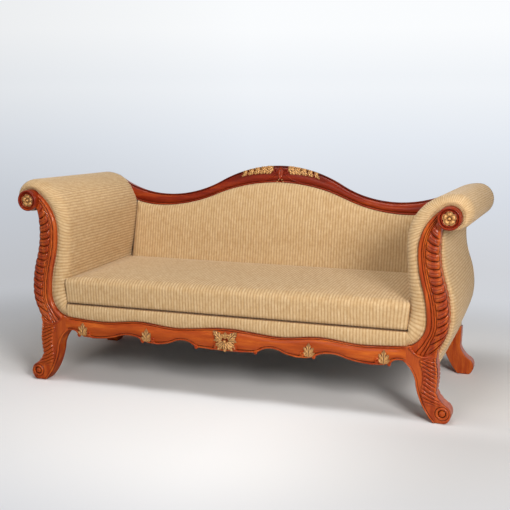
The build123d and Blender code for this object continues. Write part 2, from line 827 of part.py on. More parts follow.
with BuildPart() as back_upright:
    foot = back_rail_bottom + back_rail_height
    with BuildSketch(back_plane(-frame_step)):
        with Locations((0, (foot + crest_peak) / 2)):
            Rectangle(back_upright_width, crest_peak - foot)
    extrude(amount=-back_rail_thickness)
    add(below_crest.part, mode=Mode.INTERSECT)
    add(behind_back.part, mode=Mode.SUBTRACT)
save(back_upright, "back_upright")

with BuildPart() as back_webbing:
    with BuildSketch(back_plane(-frame_step + soft_gap / 2)):
        with Locations((0, (back_rail_bottom + crest_peak) / 2)):
            with GridLocations(2 * seat_half / back_strap_count, 0, back_strap_count, 1):
                Rectangle(webbing_width, crest_peak - back_rail_bottom)
    extrude(amount=webbing_thickness)
    add(below_crest.part, mode=Mode.INTERSECT)
save(back_webbing, "back_webbing")

# Arm frame
rear_end = lean_y(roll_height + roll_radius) + rear_reach
full_front = arm_front + front_round_depth


def drop_at(y):
    """Fall of the roll at a depth."""
    return roll_drop * (y - full_front) / (rear_end - full_front)


def draw_arm(inset, drop):
    """Inside arm and roll in section, closed along the frame."""
    left = seat_half + inset
    radius = roll_radius - inset
    centre = (roll_x, roll_height - drop)
    start = (left, deck_top + lean_start)
    shoulder = (left - arm_lean, centre[1] - shoulder_depth)
    tuck = around(centre, radius, tuck_angle)
    with BuildLine() as outline:
        Line((left, deck_bottom), start)
        TangentArc(shoulder, start, tangent=(0, -1))
        TangentArc(shoulder, around(centre, radius, 90), tangent=(0, 1))
        outermost = around(centre, radius, roll_turn)
        ThreePointArc(around(centre, radius, 90), around(centre, radius, 45 + roll_turn / 2), outermost)
        ThreePointArc(outermost, around(centre, radius, (roll_turn + tuck_angle) / 2), tuck)
        Polyline(tuck, (core_x, tuck[1]), (core_x, deck_bottom), (left, deck_bottom))
    make_face(outline.edges())


panel_foot = rail_bottom + soft_gap
panel_bulge = outer_bulge[0] + panel_swell


def draw_outer_panel(shift, drop):
    """Outside arm in section, from under the roll down to the side rail."""
    top = around((roll_x, roll_height - drop), roll_radius, tuck_angle)[1] - soft_gap
    head = (outer_waist[0] + panel_head_out - shift, top)
    waist = (outer_waist[0] + panel_waist_out - shift, outer_waist[1] - drop)
    bulge = (panel_bulge - shift, outer_bulge[1])
    hem = (side_rail_out + panel_thickness + soft_gap - shift, rail_bottom + hem_height)
    s_curve(waist, bulge)
    TangentArc(waist, head, tangent=(0, 1))
    TangentArc(bulge, hem, tangent=(0, -1))
    Line(hem, (hem[0], panel_foot))
    return head, (hem[0], panel_foot)


def draw_panel_face(near, far, drop):
    """Space between two curves parallel to the outside arm, inside its outer face."""
    with BuildLine() as outline:
        outside = draw_outer_panel(near, drop)
        inside = draw_outer_panel(far, drop)
        for a, b in zip(outside, inside):
            Line(a, b)
    make_face(outline.edges())


def loft_panel(near, far):
    """Runs a layer of the outside arm from the facing to behind the back."""
    sections = []
    for y in (facing_back + soft_gap, rear_end):
        with BuildSketch(upright(y)) as section:
            draw_panel_face(near, far, drop_at(y))
        sections.append(section.sketch)
    loft(sections, ruled=True)


with BuildPart() as panel_pocket:
    loft_panel(-roll_radius, panel_thickness + soft_gap)


def draw_rear_board():
    """Rear end of the arm frame, before it is cut to the outside arm."""
    centre = (roll_x, roll_height - roll_drop)
    radius = roll_radius * board_share
    inside = core_x + soft_gap
    turn = around(centre, radius, board_neck_angle)
    neck = (turn[0], around(centre, roll_radius, tuck_angle)[1] - 2 * soft_gap)
    spring = (inside, centre[1] + radius - (centre[0] - inside))
    with BuildLine() as outline:
        Line((inside, rail_top), spring)
        TangentArc(spring, around(centre, radius, 90), tangent=(0, 1))
        ThreePointArc(around(centre, radius, 90), around(centre, radius, 0), turn)
        Polyline(turn, neck, (panel_bulge, neck[1]), (panel_bulge, rail_top))
        Line((panel_bulge, rail_top), (inside, rail_top))
    make_face(outline.edges())


with BuildPart() as arm_rear_board:
    with BuildSketch(upright(rear_end)):
        draw_rear_board()
    extrude(amount=rear_end)
    split(bisect_by=back_plane(soft_gap), keep=Keep.TOP)
    split(bisect_by=back_plane(rear_board_thickness), keep=Keep.BOTTOM)
    add(crest_pocket.part, mode=Mode.SUBTRACT)
    add(panel_pocket.part, mode=Mode.SUBTRACT)
save_pair(arm_rear_board, "arm_rear_board")

arm_rail_middle = roll_height - roll_drop + arm_rail_lift


def draw_arm_rail(gap):
    with Locations((core_x + soft_gap + arm_rail_width / 2, arm_rail_middle)):
        RectangleRounded(arm_rail_width + 2 * gap, arm_rail_height + 2 * gap, arm_rail_round + gap)


with BuildPart() as arm_top_rail:
    with BuildSketch(upright(rear_end)):
        draw_arm_rail(0)
    extrude(amount=rear_end - facing_back)
    split(bisect_by=back_plane(rear_board_thickness), keep=Keep.TOP)
save_pair(arm_top_rail, "arm_top_rail")

with BuildPart() as arm_tack_rail:
    tack_rail_x = core_x + soft_gap + tack_rail_width / 2
    tack_rail_z = rail_top + tack_rail_lift + tack_rail_height / 2
    with BuildSketch(upright(rear_end)):
        with Locations((tack_rail_x, tack_rail_z)):
            Rectangle(tack_rail_width, tack_rail_height)
    extrude(amount=rear_end - facing_back)
    split(bisect_by=back_plane(rear_board_thickness), keep=Keep.TOP)
save_pair(arm_tack_rail, "arm_tack_rail")

# Upholstery on the arms
with BuildPart() as arm_pocket:
    with BuildSketch(upright(facing_back + soft_gap)):
        draw_facing()
        offset(amount=soft_gap)
    extrude(amount=2 * facing_thickness)
    with BuildSketch(upright(rail_back + soft_gap)):
        draw_front_leg()
        offset(amount=soft_gap)
    extrude(amount=2 * facing_thickness)
    with BuildSketch(upright(rear_end)):
        draw_arm_rail(soft_gap)
    extrude(amount=rear_end - facing_back)

with BuildPart() as rear_pocket:
    with BuildSketch(upright(rear_end)):
        draw_rear_board()
        offset(amount=soft_gap)
    extrude(amount=rear_end)
    split(bisect_by=back_plane(0), keep=Keep.TOP)
    split(bisect_by=back_plane(rear_board_thickness + soft_gap), keep=Keep.BOTTOM)

with BuildPart() as inside_arm:
    for depth, inset in round_steps:
        with BuildSketch(upright(arm_front + depth * front_round_depth)):
            draw_arm(inset * arm_front_round, 0)
    with BuildSketch(upright(rear_end)):
        draw_arm(0, roll_drop)
    loft(ruled=True)
    split(bisect_by=back_plane(soft_gap), keep=Keep.TOP)
    add(arm_pocket.part, mode=Mode.SUBTRACT)
    add(crest_pocket.part, mode=Mode.SUBTRACT)
    add(rear_pocket.part, mode=Mode.SUBTRACT)
save_pair(inside_arm, "inside_arm")

with BuildPart() as outside_arm:
    loft_panel(0, panel_thickness)
    add(behind_back.part, mode=Mode.SUBTRACT)
    add(arm_pocket.part, mode=Mode.SUBTRACT)
save_pair(outside_arm, "outside_arm")

# Upholstery on the back
back_pad_side = seat_half - arm_lean - soft_gap
pad_foot = (deck_top + soft_gap) / cos(lean)


def draw_back_pad(inset):
    half = back_pad_side - inset
    foot_half = seat_half - soft_gap - inset
    foot = pad_foot + inset
    with BuildLine() as outline:
        end = crest_lower(soft_gap + inset, half)
        for side in (-1, 1):
            waist = (side * half, end[1] - pad_waist_drop)
            Line((side * end[0], end[1]), waist)
            TangentArc(waist, (side * foot_half, foot), tangent=(0, -1))
        Line((-foot_half, foot), (foot_half, foot))
    make_face(outline.edges())


with BuildPart() as inside_back:
    with BuildSketch(back_plane(soft_gap)):
        draw_back_pad(0)
    for share, inset in pad_steps:
        with BuildSketch(back_plane(share * back_pad_thickness)):
            draw_back_pad(inset)
    loft(ruled=True)
save(inside_back, "inside_back")

with BuildPart() as outside_back:
    with BuildSketch(upright(rear_end)):
        with BuildLine() as side_line:
            head, hem = draw_outer_panel(0, roll_drop)
            shoulder = (crest_half, head[1])
            Polyline(head, shoulder, (crest_half, crest_peak), (0, crest_peak), (0, panel_foot), hem)
        make_face(side_line.edges())
        mirror(about=Plane.YZ)
    extrude(amount=rear_end)
    add(below_crest.part, mode=Mode.INTERSECT)
    with BuildSketch(Plane.YZ):
        with BuildLine():
            Polyline(
                (outer_back_y(0) + soft_gap, 0),
                (outer_back_y(crest_peak) + soft_gap, crest_peak),
                (outer_back_y(crest_peak) + outer_back_thickness, crest_peak),
                (outer_back_y(0) + outer_back_thickness, 0),
                close=True,
            )
        make_face()
    extrude(amount=2 * seat_half, both=True, mode=Mode.INTERSECT)
save(outside_back, "outside_back")

# Sprung deck with its padded front border
with BuildPart() as seat_deck:
    deck_half = seat_half - soft_gap
    deck_face = front_line + soft_gap
    border_foot = apron_top + border_foot_rise
    deck_rear = lean_y(deck_top) - deck_back_gap
    with BuildSketch(Plane.YZ):
        with BuildLine():
            ThreePointArc(
                (deck_face, border_foot),
                (front_line - deck_bulge, (border_foot + deck_top) / 2),
                (deck_face, deck_top - soft_gap),
            )
            Polyline(
                (deck_face, deck_top - soft_gap),
                (deck_rear, deck_top - soft_gap),
                (lean_y(deck_bottom) - deck_back_gap, deck_bottom),
                (deck_face, deck_bottom),
                (deck_face, border_foot),
            )
        make_face()
    extrude(amount=deck_half, both=True)
save(seat_deck, "seat_deck")

# Loose bench cushion: a sewn cover over a foam core
cushion_front = front_line - cushion_overhang


def draw_cushion(height, inset):
    """Cushion outline at a height above the deck, with its sides drawn in between the corners."""
    half = seat_half - slide_gap - inset
    front = cushion_front + inset
    rear = lean_y(deck_top + height) - back_pad_thickness / cos(lean) - soft_gap - inset
    middle = (front + rear) / 2
    with BuildLine() as outline:
        ThreePointArc((-half, front), (0, front + cushion_draw), (half, front))
        ThreePointArc((-half, rear), (0, rear - cushion_draw), (half, rear))
        for side in (-1, 1):
            ThreePointArc((side * half, front), (side * (half - cushion_draw), middle), (side * half, rear))
    make_face(outline.edges())


def stack_cushion(skin):
    """Loft of the cushion's outlines, all of them this far inside the cover's outer face."""
    shoulder = cushion_thickness - cushion_crown
    layers = list(cushion_foot)
    layers += [(shoulder - depth, inset) for depth, inset in cushion_shoulder]
    layers.append((cushion_thickness, crown_inset))
    outlines = []
    for height, inset in layers:
        level = min(max(height, skin), cushion_thickness - skin)
        with BuildSketch(Plane.XY.offset(deck_top + level)) as layer:
            draw_cushion(level, inset + skin)
        outlines.append(layer.sketch)
    loft(outlines, ruled=True)


with BuildPart() as cushion_cavity:
    stack_cushion(cover_thickness)

with BuildPart() as seat_cushion_cover:
    stack_cushion(0)
    add(cushion_cavity.part, mode=Mode.SUBTRACT)
save(seat_cushion_cover, "seat_cushion_cover")

with BuildPart() as seat_cushion_core:
    stack_cushion(cover_thickness + soft_gap)
save(seat_cushion_core, "seat_cushion_core")
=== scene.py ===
"""Looks of the carved show-wood sofa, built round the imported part.

The pieces are drawn in millimetres until a mesh is made; the stage, lamps and camera are in metres.
"""
import json
import math

import bmesh
import bpy
import numpy as np
from mathutils import Matrix, Vector


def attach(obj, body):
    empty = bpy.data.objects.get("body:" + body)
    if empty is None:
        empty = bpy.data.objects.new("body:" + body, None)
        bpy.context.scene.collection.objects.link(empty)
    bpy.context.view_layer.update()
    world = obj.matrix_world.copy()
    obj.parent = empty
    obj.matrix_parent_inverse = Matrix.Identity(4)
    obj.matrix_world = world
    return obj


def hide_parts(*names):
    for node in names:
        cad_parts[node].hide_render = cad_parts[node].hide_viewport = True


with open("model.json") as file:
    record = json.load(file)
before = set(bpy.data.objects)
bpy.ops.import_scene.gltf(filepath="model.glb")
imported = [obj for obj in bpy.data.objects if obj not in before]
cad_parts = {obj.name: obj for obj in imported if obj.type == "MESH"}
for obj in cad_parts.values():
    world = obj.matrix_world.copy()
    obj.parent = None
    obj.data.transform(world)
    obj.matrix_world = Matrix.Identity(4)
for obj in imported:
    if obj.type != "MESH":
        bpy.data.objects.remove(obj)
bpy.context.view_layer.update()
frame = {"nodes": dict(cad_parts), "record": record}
MM = 0.001

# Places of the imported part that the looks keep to
SEAT_HALF = 722.0
FRONT_LINE = -340.0
APRON_TOP, APRON_BOTTOM = 275.0, 204.0
DECK_TOP = 341.0
RAKE = math.radians(12.0)
BACK_LINE = 175.6
EYE, EYE_RADIUS = np.array((869.0, 775.0)), 42.0
ROLL_CENTRE, ROLL_RADIUS, ROLL_DROP = np.array((883.0, 789.0)), 66.0, 28.0
SHOULDER = (708.0, 680.0)
TUCK = -118.0
INNER_WAIST, INNER_BULGE, TOE_INNER = (755.0, 645.0), (793.0, 380.0), (737.0, 289.0)
OUTER_WAIST, OUTER_BULGE, TOE_OUTER = (833.0, 657.0), (875.0, 392.0), (839.0, 284.0)
TOE_BOTTOM = (788.0, 253.0)
FACING_BACK = -307.0
ARM_FRONT, ARM_FULL = -345.0, -301.0
FOOT_EYE, HEEL_RADIUS = np.array((862.0, 41.0)), 32.0

# Further places and sizes
REAR_FOOT, REAR_HEAD = (330.0, 208.0), (356.5, 734.6)
LEG_TOP, SOLE, KNEE_FACE = 283.0, 3.0, 361.5
CUSHION_HALF, CUSHION_TOP, CUSHION_FRONT, BACK_GAP = 720.0, 446.5, -345.0, 33.0
DUST_HALF, DUST_FRONT, DUST_BACK, DUST_LEVEL = 779, -299, 249, 227.0
RIB_PITCH = 12.6


# Lines in a plane
def arc_to(start, end, tangent, count=48):
    """Circular arc that leaves start along tangent and ends at end."""
    start, end = np.array(start, float), np.array(end, float)
    ahead = np.array(tangent, float) / np.hypot(*tangent)
    side = np.array((-ahead[1], ahead[0]))
    chord = end - start
    across = chord @ side
    if abs(across) < 1e-9:
        return start + np.linspace(0, 1, count)[:, None] * chord
    spoke = -side * (chord @ chord) / (2 * across)
    angle = np.linspace(0, 2 * math.atan2(across, chord @ ahead), count)
    turned = np.stack([spoke[0] * np.cos(angle) - spoke[1] * np.sin(angle),
                       spoke[0] * np.sin(angle) + spoke[1] * np.cos(angle)], 1)
    return start - spoke + turned


def arc_through(a, b, c, count=48):
    """Circular arc from a through b to c."""
    a, b, c = (np.array(p, float) for p in (a, b, c))
    d = 2 * (a[0] * (b[1] - c[1]) + b[0] * (c[1] - a[1]) + c[0] * (a[1] - b[1]))
    if abs(d) < 1e-9:
        return a + np.linspace(0, 1, count)[:, None] * (c - a)
    x = (a @ a * (b[1] - c[1]) + b @ b * (c[1] - a[1]) + c @ c * (a[1] - b[1])) / d
    y = (a @ a * (c[0] - b[0]) + b @ b * (a[0] - c[0]) + c @ c * (b[0] - a[0])) / d
    centre = np.array((x, y))
    first, mid, last = (math.atan2(*(p - centre)[::-1]) for p in (a, b, c))
    turn = (last - first) % math.tau
    if (mid - first) % math.tau > turn:
        turn -= math.tau
    angle = first + np.linspace(0, turn, count)
    return centre + np.hypot(*(a - centre)) * np.stack([np.cos(angle), np.sin(angle)], 1)


def s_curve(start, end, count=48):
    """Two equal arcs, upright at both ends."""
    middle = (np.array(start, float) + end) / 2
    way = (0, math.copysign(1, end[1] - start[1]))
    back = (0, -way[1])
    return np.concatenate([arc_to(start, middle, way, count), arc_to(end, middle, back, count)[::-1][1:]])


def circle(centre, radius, first, last, count=48):
    angle = np.radians(np.linspace(first, last, count))
    return np.array(centre) + radius * np.stack([np.cos(angle), np.sin(angle)], 1)


def join(*runs):
    return np.concatenate([runs[0]] + [r[1:] for r in runs[1:]])


def lengths(line):
    return np.concatenate([[0], np.cumsum(np.linalg.norm(np.diff(line, axis=0), axis=1))])


def at_lengths(line, where):
    run = lengths(line)
    return np.stack([np.interp(where, run, line[:, k]) for k in range(line.shape[1])], 1)


def resample(line, count):
    return at_lengths(line, np.linspace(0, lengths(line)[-1], count))


def smooth(x, low, high):
    t = np.clip((x - low) / (high - low), 0, 1)
    return t * t * (3 - 2 * t)


def half_round(x, centre, half):
    """Height of a round bead, 0 to 1."""
    return np.sqrt(np.clip(1 - ((x - centre) / half) ** 2, 0, 1))


# Planes
def upright(x, z, forward):
    return np.stack(np.broadcast_arrays(x, -np.asarray(forward, float), z), -1)


def raked(x, up, forward):
    y = BACK_LINE + up * math.sin(RAKE) - forward * math.cos(RAKE)
    z = up * math.cos(RAKE) + forward * math.sin(RAKE)
    return np.stack(np.broadcast_arrays(x, y, z), -1)


def lean_y(z):
    return BACK_LINE + z * math.tan(RAKE)


def outer_back_y(z):
    (foot_y, foot_z), (head_y, head_z) = REAR_FOOT, REAR_HEAD
    return foot_y + (np.asarray(z, float) - foot_z) * (head_y - foot_y) / (head_z - foot_z)


# Meshes
def unit_grid(m, n):
    return np.linspace(0, 1, m)[:, None], np.linspace(0, 1, n)[None, :]


def ruled(one, other, t):
    """Grid of points between two lines with as many points each."""
    return one[:, None] * (1 - t)[..., None] + other[:, None] * t[..., None]


def in_depth(line, y):
    """Points of an upright line at their depths."""
    return np.stack([line[:, 0], y, line[:, 1]], 1)


def grid_faces(m, n, wrap=False):
    i = np.arange(m - 1)[:, None] * n
    j = np.arange(n if wrap else n - 1)[None, :]
    k = (j + 1) % n
    return np.stack([i + j, i + k, i + n + k, i + n + j], -1).reshape(-1, 4).tolist()


def closed_loops(loops):
    """Faces of a row of closed loops with both ends capped."""
    m, n = loops.shape[:2]
    faces = grid_faces(m, n, wrap=True)
    faces.append(list(range(n)))
    faces.append(list(range((m - 1) * n, m * n)))
    return loops.reshape(-1, 3), faces


def covered(loops, maps):
    """Padding from closed loops, with the map that its ribs follow."""
    verts, faces = closed_loops(np.array(loops))
    return (verts, faces, np.zeros(len(verts))), np.array(maps).reshape(-1, 2)


def hollows(height, passes=10):
    """How far each point lies below (+) or above (-) the ones round it."""
    soft = height.copy()
    for _ in range(passes):
        p = np.pad(soft, 1, mode="edge")
        soft = (p[:-2, 1:-1] + p[2:, 1:-1] + p[1:-1, :-2] + p[1:-1, 2:] + 4 * soft) / 8
    return np.clip((soft - height) / 1.5, -1, 1)


def board(points, forward, back, place, depth=None, ease=1.5):
    """A carved board: face from a grid, straight sides, flat back. Gives vertices, faces and hollows."""
    m, n = points.shape[:2]
    face = place(points[..., 0], points[..., 1], forward)
    rear = place(points[..., 0], points[..., 1], np.full((m, n), back))[:, ::-1]
    first, last = points[:, 0], points[:, -1]
    corners = ((last, forward[:, -1] - ease), (last, back + ease),
               (first, back + ease), (first, forward[:, 0] - ease))
    sides = [place(p[:, 0], p[:, 1], np.broadcast_to(f, m))[:, None] for p, f in corners]
    loops = np.concatenate([face, *sides[:2], rear, *sides[2:]], 1)
    faces = grid_faces(m, 2 * n + 4, wrap=True)
    for row in (0, (m - 1) * (2 * n + 4)):
        strip = [[j, j + 1, 2 * n - j, 2 * n + 1 - j] for j in range(1, n - 2)]
        strip += [[0, 1, 2 * n, 2 * n + 1, 2 * n + 2, 2 * n + 3], [n - 2, n - 1, n, n + 1, n + 2, n + 3]]
        faces += [[k + row for k in cap] for cap in strip]
    hollow = hollows(forward) if depth is None else depth
    return loops.reshape(-1, 3), faces, np.concatenate([hollow, np.zeros((m, n + 4))], 1).ravel()


def tube(path, radius, sides=12):
    """A round bar along a path in space, with its thickness at each point."""
    path = np.asarray(path, float)
    radius = np.broadcast_to(radius, len(path))
    ahead = np.gradient(path, axis=0)
    ahead /= np.linalg.norm(ahead, axis=1)[:, None]
    side = np.cross(ahead[0], (0.3, 0.5, 0.81))
    loops = []
    for p, a, r in zip(path, ahead, radius):
        side = side - a * (side @ a)
        side /= np.linalg.norm(side)
        other = np.cross(a, side)
        turn = np.linspace(0, math.tau, sides, endpoint=False)[:, None]
        loops.append(p + r * (np.cos(turn) * side + np.sin(turn) * other))
    verts, faces = closed_loops(np.array(loops))
    return verts, faces, np.zeros(len(verts))


def ball(centre, forward, radius):
    """A round bead set on a face that looks to the front."""
    turn = np.linspace(-1.5, 1.5, 13)
    path = upright(np.full(13, centre[0]), np.full(13, centre[1]), forward + radius * np.sin(turn))
    return tube(path, radius * np.cos(turn), 18)


def gather(*parts):
    """Several sets of vertices, faces and hollows as one."""
    verts, faces, hollow, first = [], [], [], 0
    for v, f, h in parts:
        verts.append(v)
        faces += [[k + first for k in face] for face in f]
        hollow.append(h)
        first += len(v)
    return np.concatenate(verts), faces, np.concatenate(hollow)


def piece(name, shape, material, slot, nodes=(), body="frame", uv=None, flip=False):
    """Makes a Blender object from vertices in millimetres and puts it on its body."""
    verts, faces, hollow = shape
    verts = np.array(verts, float)
    if flip:
        verts[:, 0] *= -1
    mesh = bpy.data.meshes.new(name)
    mesh.from_pydata((verts * MM).tolist(), [], faces)
    work = bmesh.new()
    work.from_mesh(mesh)
    bmesh.ops.recalc_face_normals(work, faces=work.faces)
    work.to_mesh(mesh)
    work.free()
    dips = mesh.attributes.new("hollow", "FLOAT", "POINT")
    dips.data.foreach_set("value", np.asarray(hollow, np.float32))
    if uv is not None:
        index = np.zeros(len(mesh.loops), np.int32)
        mesh.loops.foreach_get("vertex_index", index)
        corner_uv = (np.asarray(uv) * MM)[index].astype(np.float32)
        mesh.uv_layers.new(name="cloth").data.foreach_set("uv", corner_uv.ravel())
    mesh.shade_smooth()
    mesh.materials.append(material)
    ob = bpy.data.objects.new(name, mesh)
    bpy.context.scene.collection.objects.link(ob)
    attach(ob, body)
    if nodes:
        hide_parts(*nodes)
    return ob


def vertex_values(mesh, name):
    values = np.zeros(len(mesh.vertices) * 3, np.float32)
    mesh.vertices.foreach_get(name, values)
    return values.reshape(-1, 3)


def puff(ob, free, cap, pressure=4.0, frames=12, grades=20):
    """Swells a padded piece by cloth simulation: free (0 to 1) times cap (mm) is how far a point may go."""
    scene = bpy.context.scene
    free = np.clip(free, 0, 1)
    start = vertex_values(ob.data, "co")
    held = ob.vertex_groups.new(name="held")
    steps = np.round((1 - free) * grades).astype(int)
    for step in np.unique(steps[steps > 0]):
        held.add(np.flatnonzero(steps == step).tolist(), step / grades, "REPLACE")
    swell = ob.modifiers.new("swell", "CLOTH")
    swell.settings.quality = 3
    swell.settings.mass = 0.3
    swell.settings.vertex_group_mass = "held"
    swell.settings.use_pressure = True
    swell.settings.uniform_pressure_force = pressure
    swell.settings.effector_weights.gravity = 0.0
    swell.collision_settings.use_collision = False
    swell.point_cache.frame_end = frames
    for step in range(1, frames + 1):
        scene.frame_set(step)
    shown = ob.evaluated_get(bpy.context.evaluated_depsgraph_get())
    moved = vertex_values(shown.data, "co") - start
    scene.frame_set(1)
    ob.modifiers.remove(swell)
    ob.vertex_groups.remove(held)
    outward = vertex_values(ob.data, "normal")
    rise = np.clip(np.sum(moved * outward, 1), 0, cap * MM * free)
    ob.data.vertices.foreach_set("co", (start + outward * rise[:, None]).astype(np.float32).ravel())
    ob.data.update()


def pair(name, shape, material, slot, **more):
    """The right-hand piece and its mirror image, standing for the nodes of the same name."""
    return [piece(f"{name}_{side}_look", shape, material, slot, nodes=[f"{name}_{side}"],
                  flip=side == "left", **more) for side in ("right", "left")]


# Materials
class Shade:
    """The node tree of a material or world, with short names for the nodes used here."""

    def __init__(self, tree):
        self.tree = tree

    def feed(self, socket, value):
        if isinstance(value, bpy.types.NodeSocket):
            self.tree.links.new(value, socket)
        else:
            socket.default_value = value

    def node(self, kind, inputs=(), **settings):
        made = self.tree.nodes.new("ShaderNode" + kind)
        for key, value in settings.items():
            setattr(made, key, value)
        for key, value in dict(inputs).items():
            self.feed(made.inputs[key], value)
        return made

    def math(self, operation, *values, clamp=False):
        return self.node("Math", enumerate(values), operation=operation, use_clamp=clamp).outputs[0]

    def add(self, a, b, clamp=False):
        return self.math("ADD", a, b, clamp=clamp)

    def times(self, a, b, clamp=False):
        return self.math("MULTIPLY", a, b, clamp=clamp)

    def line(self, x, slope, start, clamp=False):
        return self.math("MULTIPLY_ADD", x, slope, start, clamp=clamp)

    def span(self, x, low, high, top=1.0, kind="LINEAR"):
        """x from low to high as 0 to top."""
        return self.node("MapRange", {0: x, 1: low, 2: high, 4: top}, interpolation_type=kind).outputs[0]

    def blend(self, share, a, b):
        made = self.node("Mix", {"Factor": share}, data_type="RGBA")
        for socket, value in zip(made.inputs[6:8], (a, b)):
            self.feed(socket, (*value, 1) if isinstance(value, tuple) else value)
        return made.outputs[2]

    def ramp(self, share, *stops):
        made = self.node("ValToRGB", {0: share})
        for end, (position, colour) in zip(made.color_ramp.elements, (stops[0], stops[-1])):
            end.position, end.color = position, (*colour, 1)
        for position, colour in stops[1:-1]:
            made.color_ramp.elements.new(position).color = (*colour, 1)
        return made.outputs[0]

    def noise(self, vector, scale, detail=3.0, rough=0.55):
        inputs = {"Vector": vector, "Scale": scale, "Detail": detail, "Roughness": rough}
        return self.node("TexNoise", inputs).outputs[0]

    def bump(self, strength, distance, height):
        return self.node("Bump", {"Strength": strength, "Distance": distance, "Height": height}).outputs[0]

    def place(self, kind="Object"):
        return self.node("TexCoord").outputs[kind]

    def split(self, vector):
        return self.node("SeparateXYZ", {0: vector}).outputs

    def point(self, x, y, z=0.0):
        return self.node("CombineXYZ", {0: x, 1: y, 2: z}).outputs[0]

    def hollow(self):
        return self.node("Attribute", attribute_name="hollow").outputs["Fac"]

    def surface(self, inputs):
        for name, value in inputs.items():
            self.feed(self.tree.nodes["Principled BSDF"].inputs[name], value)


def new_material(name):
    material = bpy.data.materials.new(name)
    material.use_nodes = True
    return material, Shade(material.node_tree)


def cloth_material(name, pale, mid, deep, seam_and_gap_shade):
    """Ribbed chenille: soft slubby ribs across the first map coordinate, with a fine weave between them, and
    painted shade where the pieces meet.
    """
    material, t = new_material(name)
    place = t.node("UVMap", uv_map="cloth").outputs[0]
    across, along, _ = t.split(place)
    rib = t.add(t.times(across, 1 / (RIB_PITCH * MM)), t.line(t.noise(place, 9.0, 2.0), 0.5, -0.25))
    crown = t.math("POWER", t.line(t.math("COSINE", t.times(rib, math.tau)), -0.5, 0.5), 0.75)
    slub_place = t.point(t.times(t.math("FLOOR", rib), 3.7), t.times(along, 26.0))
    slub = t.span(t.noise(slub_place, 1.0, 3.0, 0.6), 0.36, 0.66)
    fine = t.noise(t.point(t.times(across, 520.0), t.times(along, 900.0)), 1.0, 2.0, 0.6)
    dash_place = t.point(t.times(across, 150.0), t.times(along, 55.0), 3.0)
    dash = t.span(t.noise(dash_place, 1.0, 2.0, 0.6), 0.38, 0.60)
    groove = t.times(t.math("SUBTRACT", 1.0, crown), t.line(dash, 0.5, 0.42), clamp=True)
    mottle = t.span(t.noise(place, 75.0, 3.0, 0.65), 0.42, 0.68, 0.26)
    wear_and_highlight = t.line(t.noise(place, 3.2), 0.5, -0.16, clamp=True)
    base = t.blend(groove, mid, deep)
    base = t.blend(t.times(t.times(crown, slub), 0.95), base, pale)
    base = t.blend(t.line(fine, 0.5, -0.06, clamp=True), base, deep)
    base = t.blend(mottle, base, deep)
    base = t.blend(wear_and_highlight, base, mid)
    # Painted shade in the gaps, seams and tucks, from the hollow values of the pieces
    base = t.blend(t.times(t.hollow(), 0.95, clamp=True), base, seam_and_gap_shade)
    height = t.add(t.times(crown, t.line(slub, 0.5, 0.5)), t.times(fine, 0.45))
    t.surface({"Base Color": base, "Roughness": t.line(fine, 0.14, 0.82),
               "Normal": t.bump(0.45, 0.0016, height), "Sheen Weight": 0.10, "Sheen Roughness": 0.45,
               "Specular IOR Level": 0.12})
    return material


def wood_material(name, grain, pale, mid, deep, dark, gloss=0.34, coat=0.13):
    """Lacquered wood with grain along one axis, painted shade in its hollows and painted highlight on its
    ridges.
    """
    material, t = new_material(name)
    stretched = t.node("Mapping", {"Vector": t.place(), "Scale": grain}).outputs[0]
    streak = t.noise(stretched, 46.0, 3.0, 0.65)
    figure = t.add(t.times(t.noise(stretched, 5.0, 4.0, 0.6), 0.7), t.times(streak, 0.3))
    hollow = t.hollow()
    # Painted shade: the hollows are darkened towards the shade colour
    painted_shade = t.times(hollow, 1.5, clamp=True)
    base = t.blend(painted_shade, t.ramp(figure, (0.32, deep), (0.5, mid), (0.68, pale)), dark)
    # Painted highlight: the ridges are paled
    base = t.blend(t.times(hollow, -0.55, clamp=True), base, pale)
    rough = t.add(t.line(streak, 0.16, gloss - 0.08), t.times(painted_shade, 0.25))
    t.surface({"Base Color": base, "Roughness": rough, "Normal": t.bump(0.12, 0.0006, figure),
               "Coat Weight": coat, "Coat Roughness": 0.07, "Specular IOR Level": 0.08})
    return material


def gilt_material(name, dull, bright, dark, ridge_highlight):
    """Old gold leaf, brown in the hollows, with painted highlight on the ridges."""
    material, t = new_material(name)
    place, hollow = t.place(), t.hollow()
    cloud = t.noise(place, 70.0, 4.0, 0.6)
    base = t.blend(cloud, dull, bright)
    base = t.blend(t.line(hollow, 2.6, 0.12, clamp=True), base, dark)
    # Painted highlight: the ridges are brightened
    base = t.blend(t.times(hollow, -0.8, clamp=True), base, ridge_highlight)
    rough = t.line(t.noise(place, 420.0, 2.0, 0.5), 0.34, 0.30)
    t.surface({"Base Color": base, "Roughness": rough, "Metallic": t.line(hollow, -0.8, 0.36, clamp=True),
               "Normal": t.bump(0.2, 0.0008, cloud)})
    return material


def plain_material(name, colour, other, scale, rough, metal=0.0):
    """A quiet surface for hidden pieces, with mottling and a slight bump."""
    material, t = new_material(name)
    cloud = t.noise(t.place(), scale, 4.0, 0.6)
    t.surface({"Base Color": t.blend(cloud, colour, other), "Roughness": t.line(cloud, 0.2, rough - 0.1),
               "Normal": t.bump(0.25, 0.0005, cloud), "Metallic": metal})
    return material


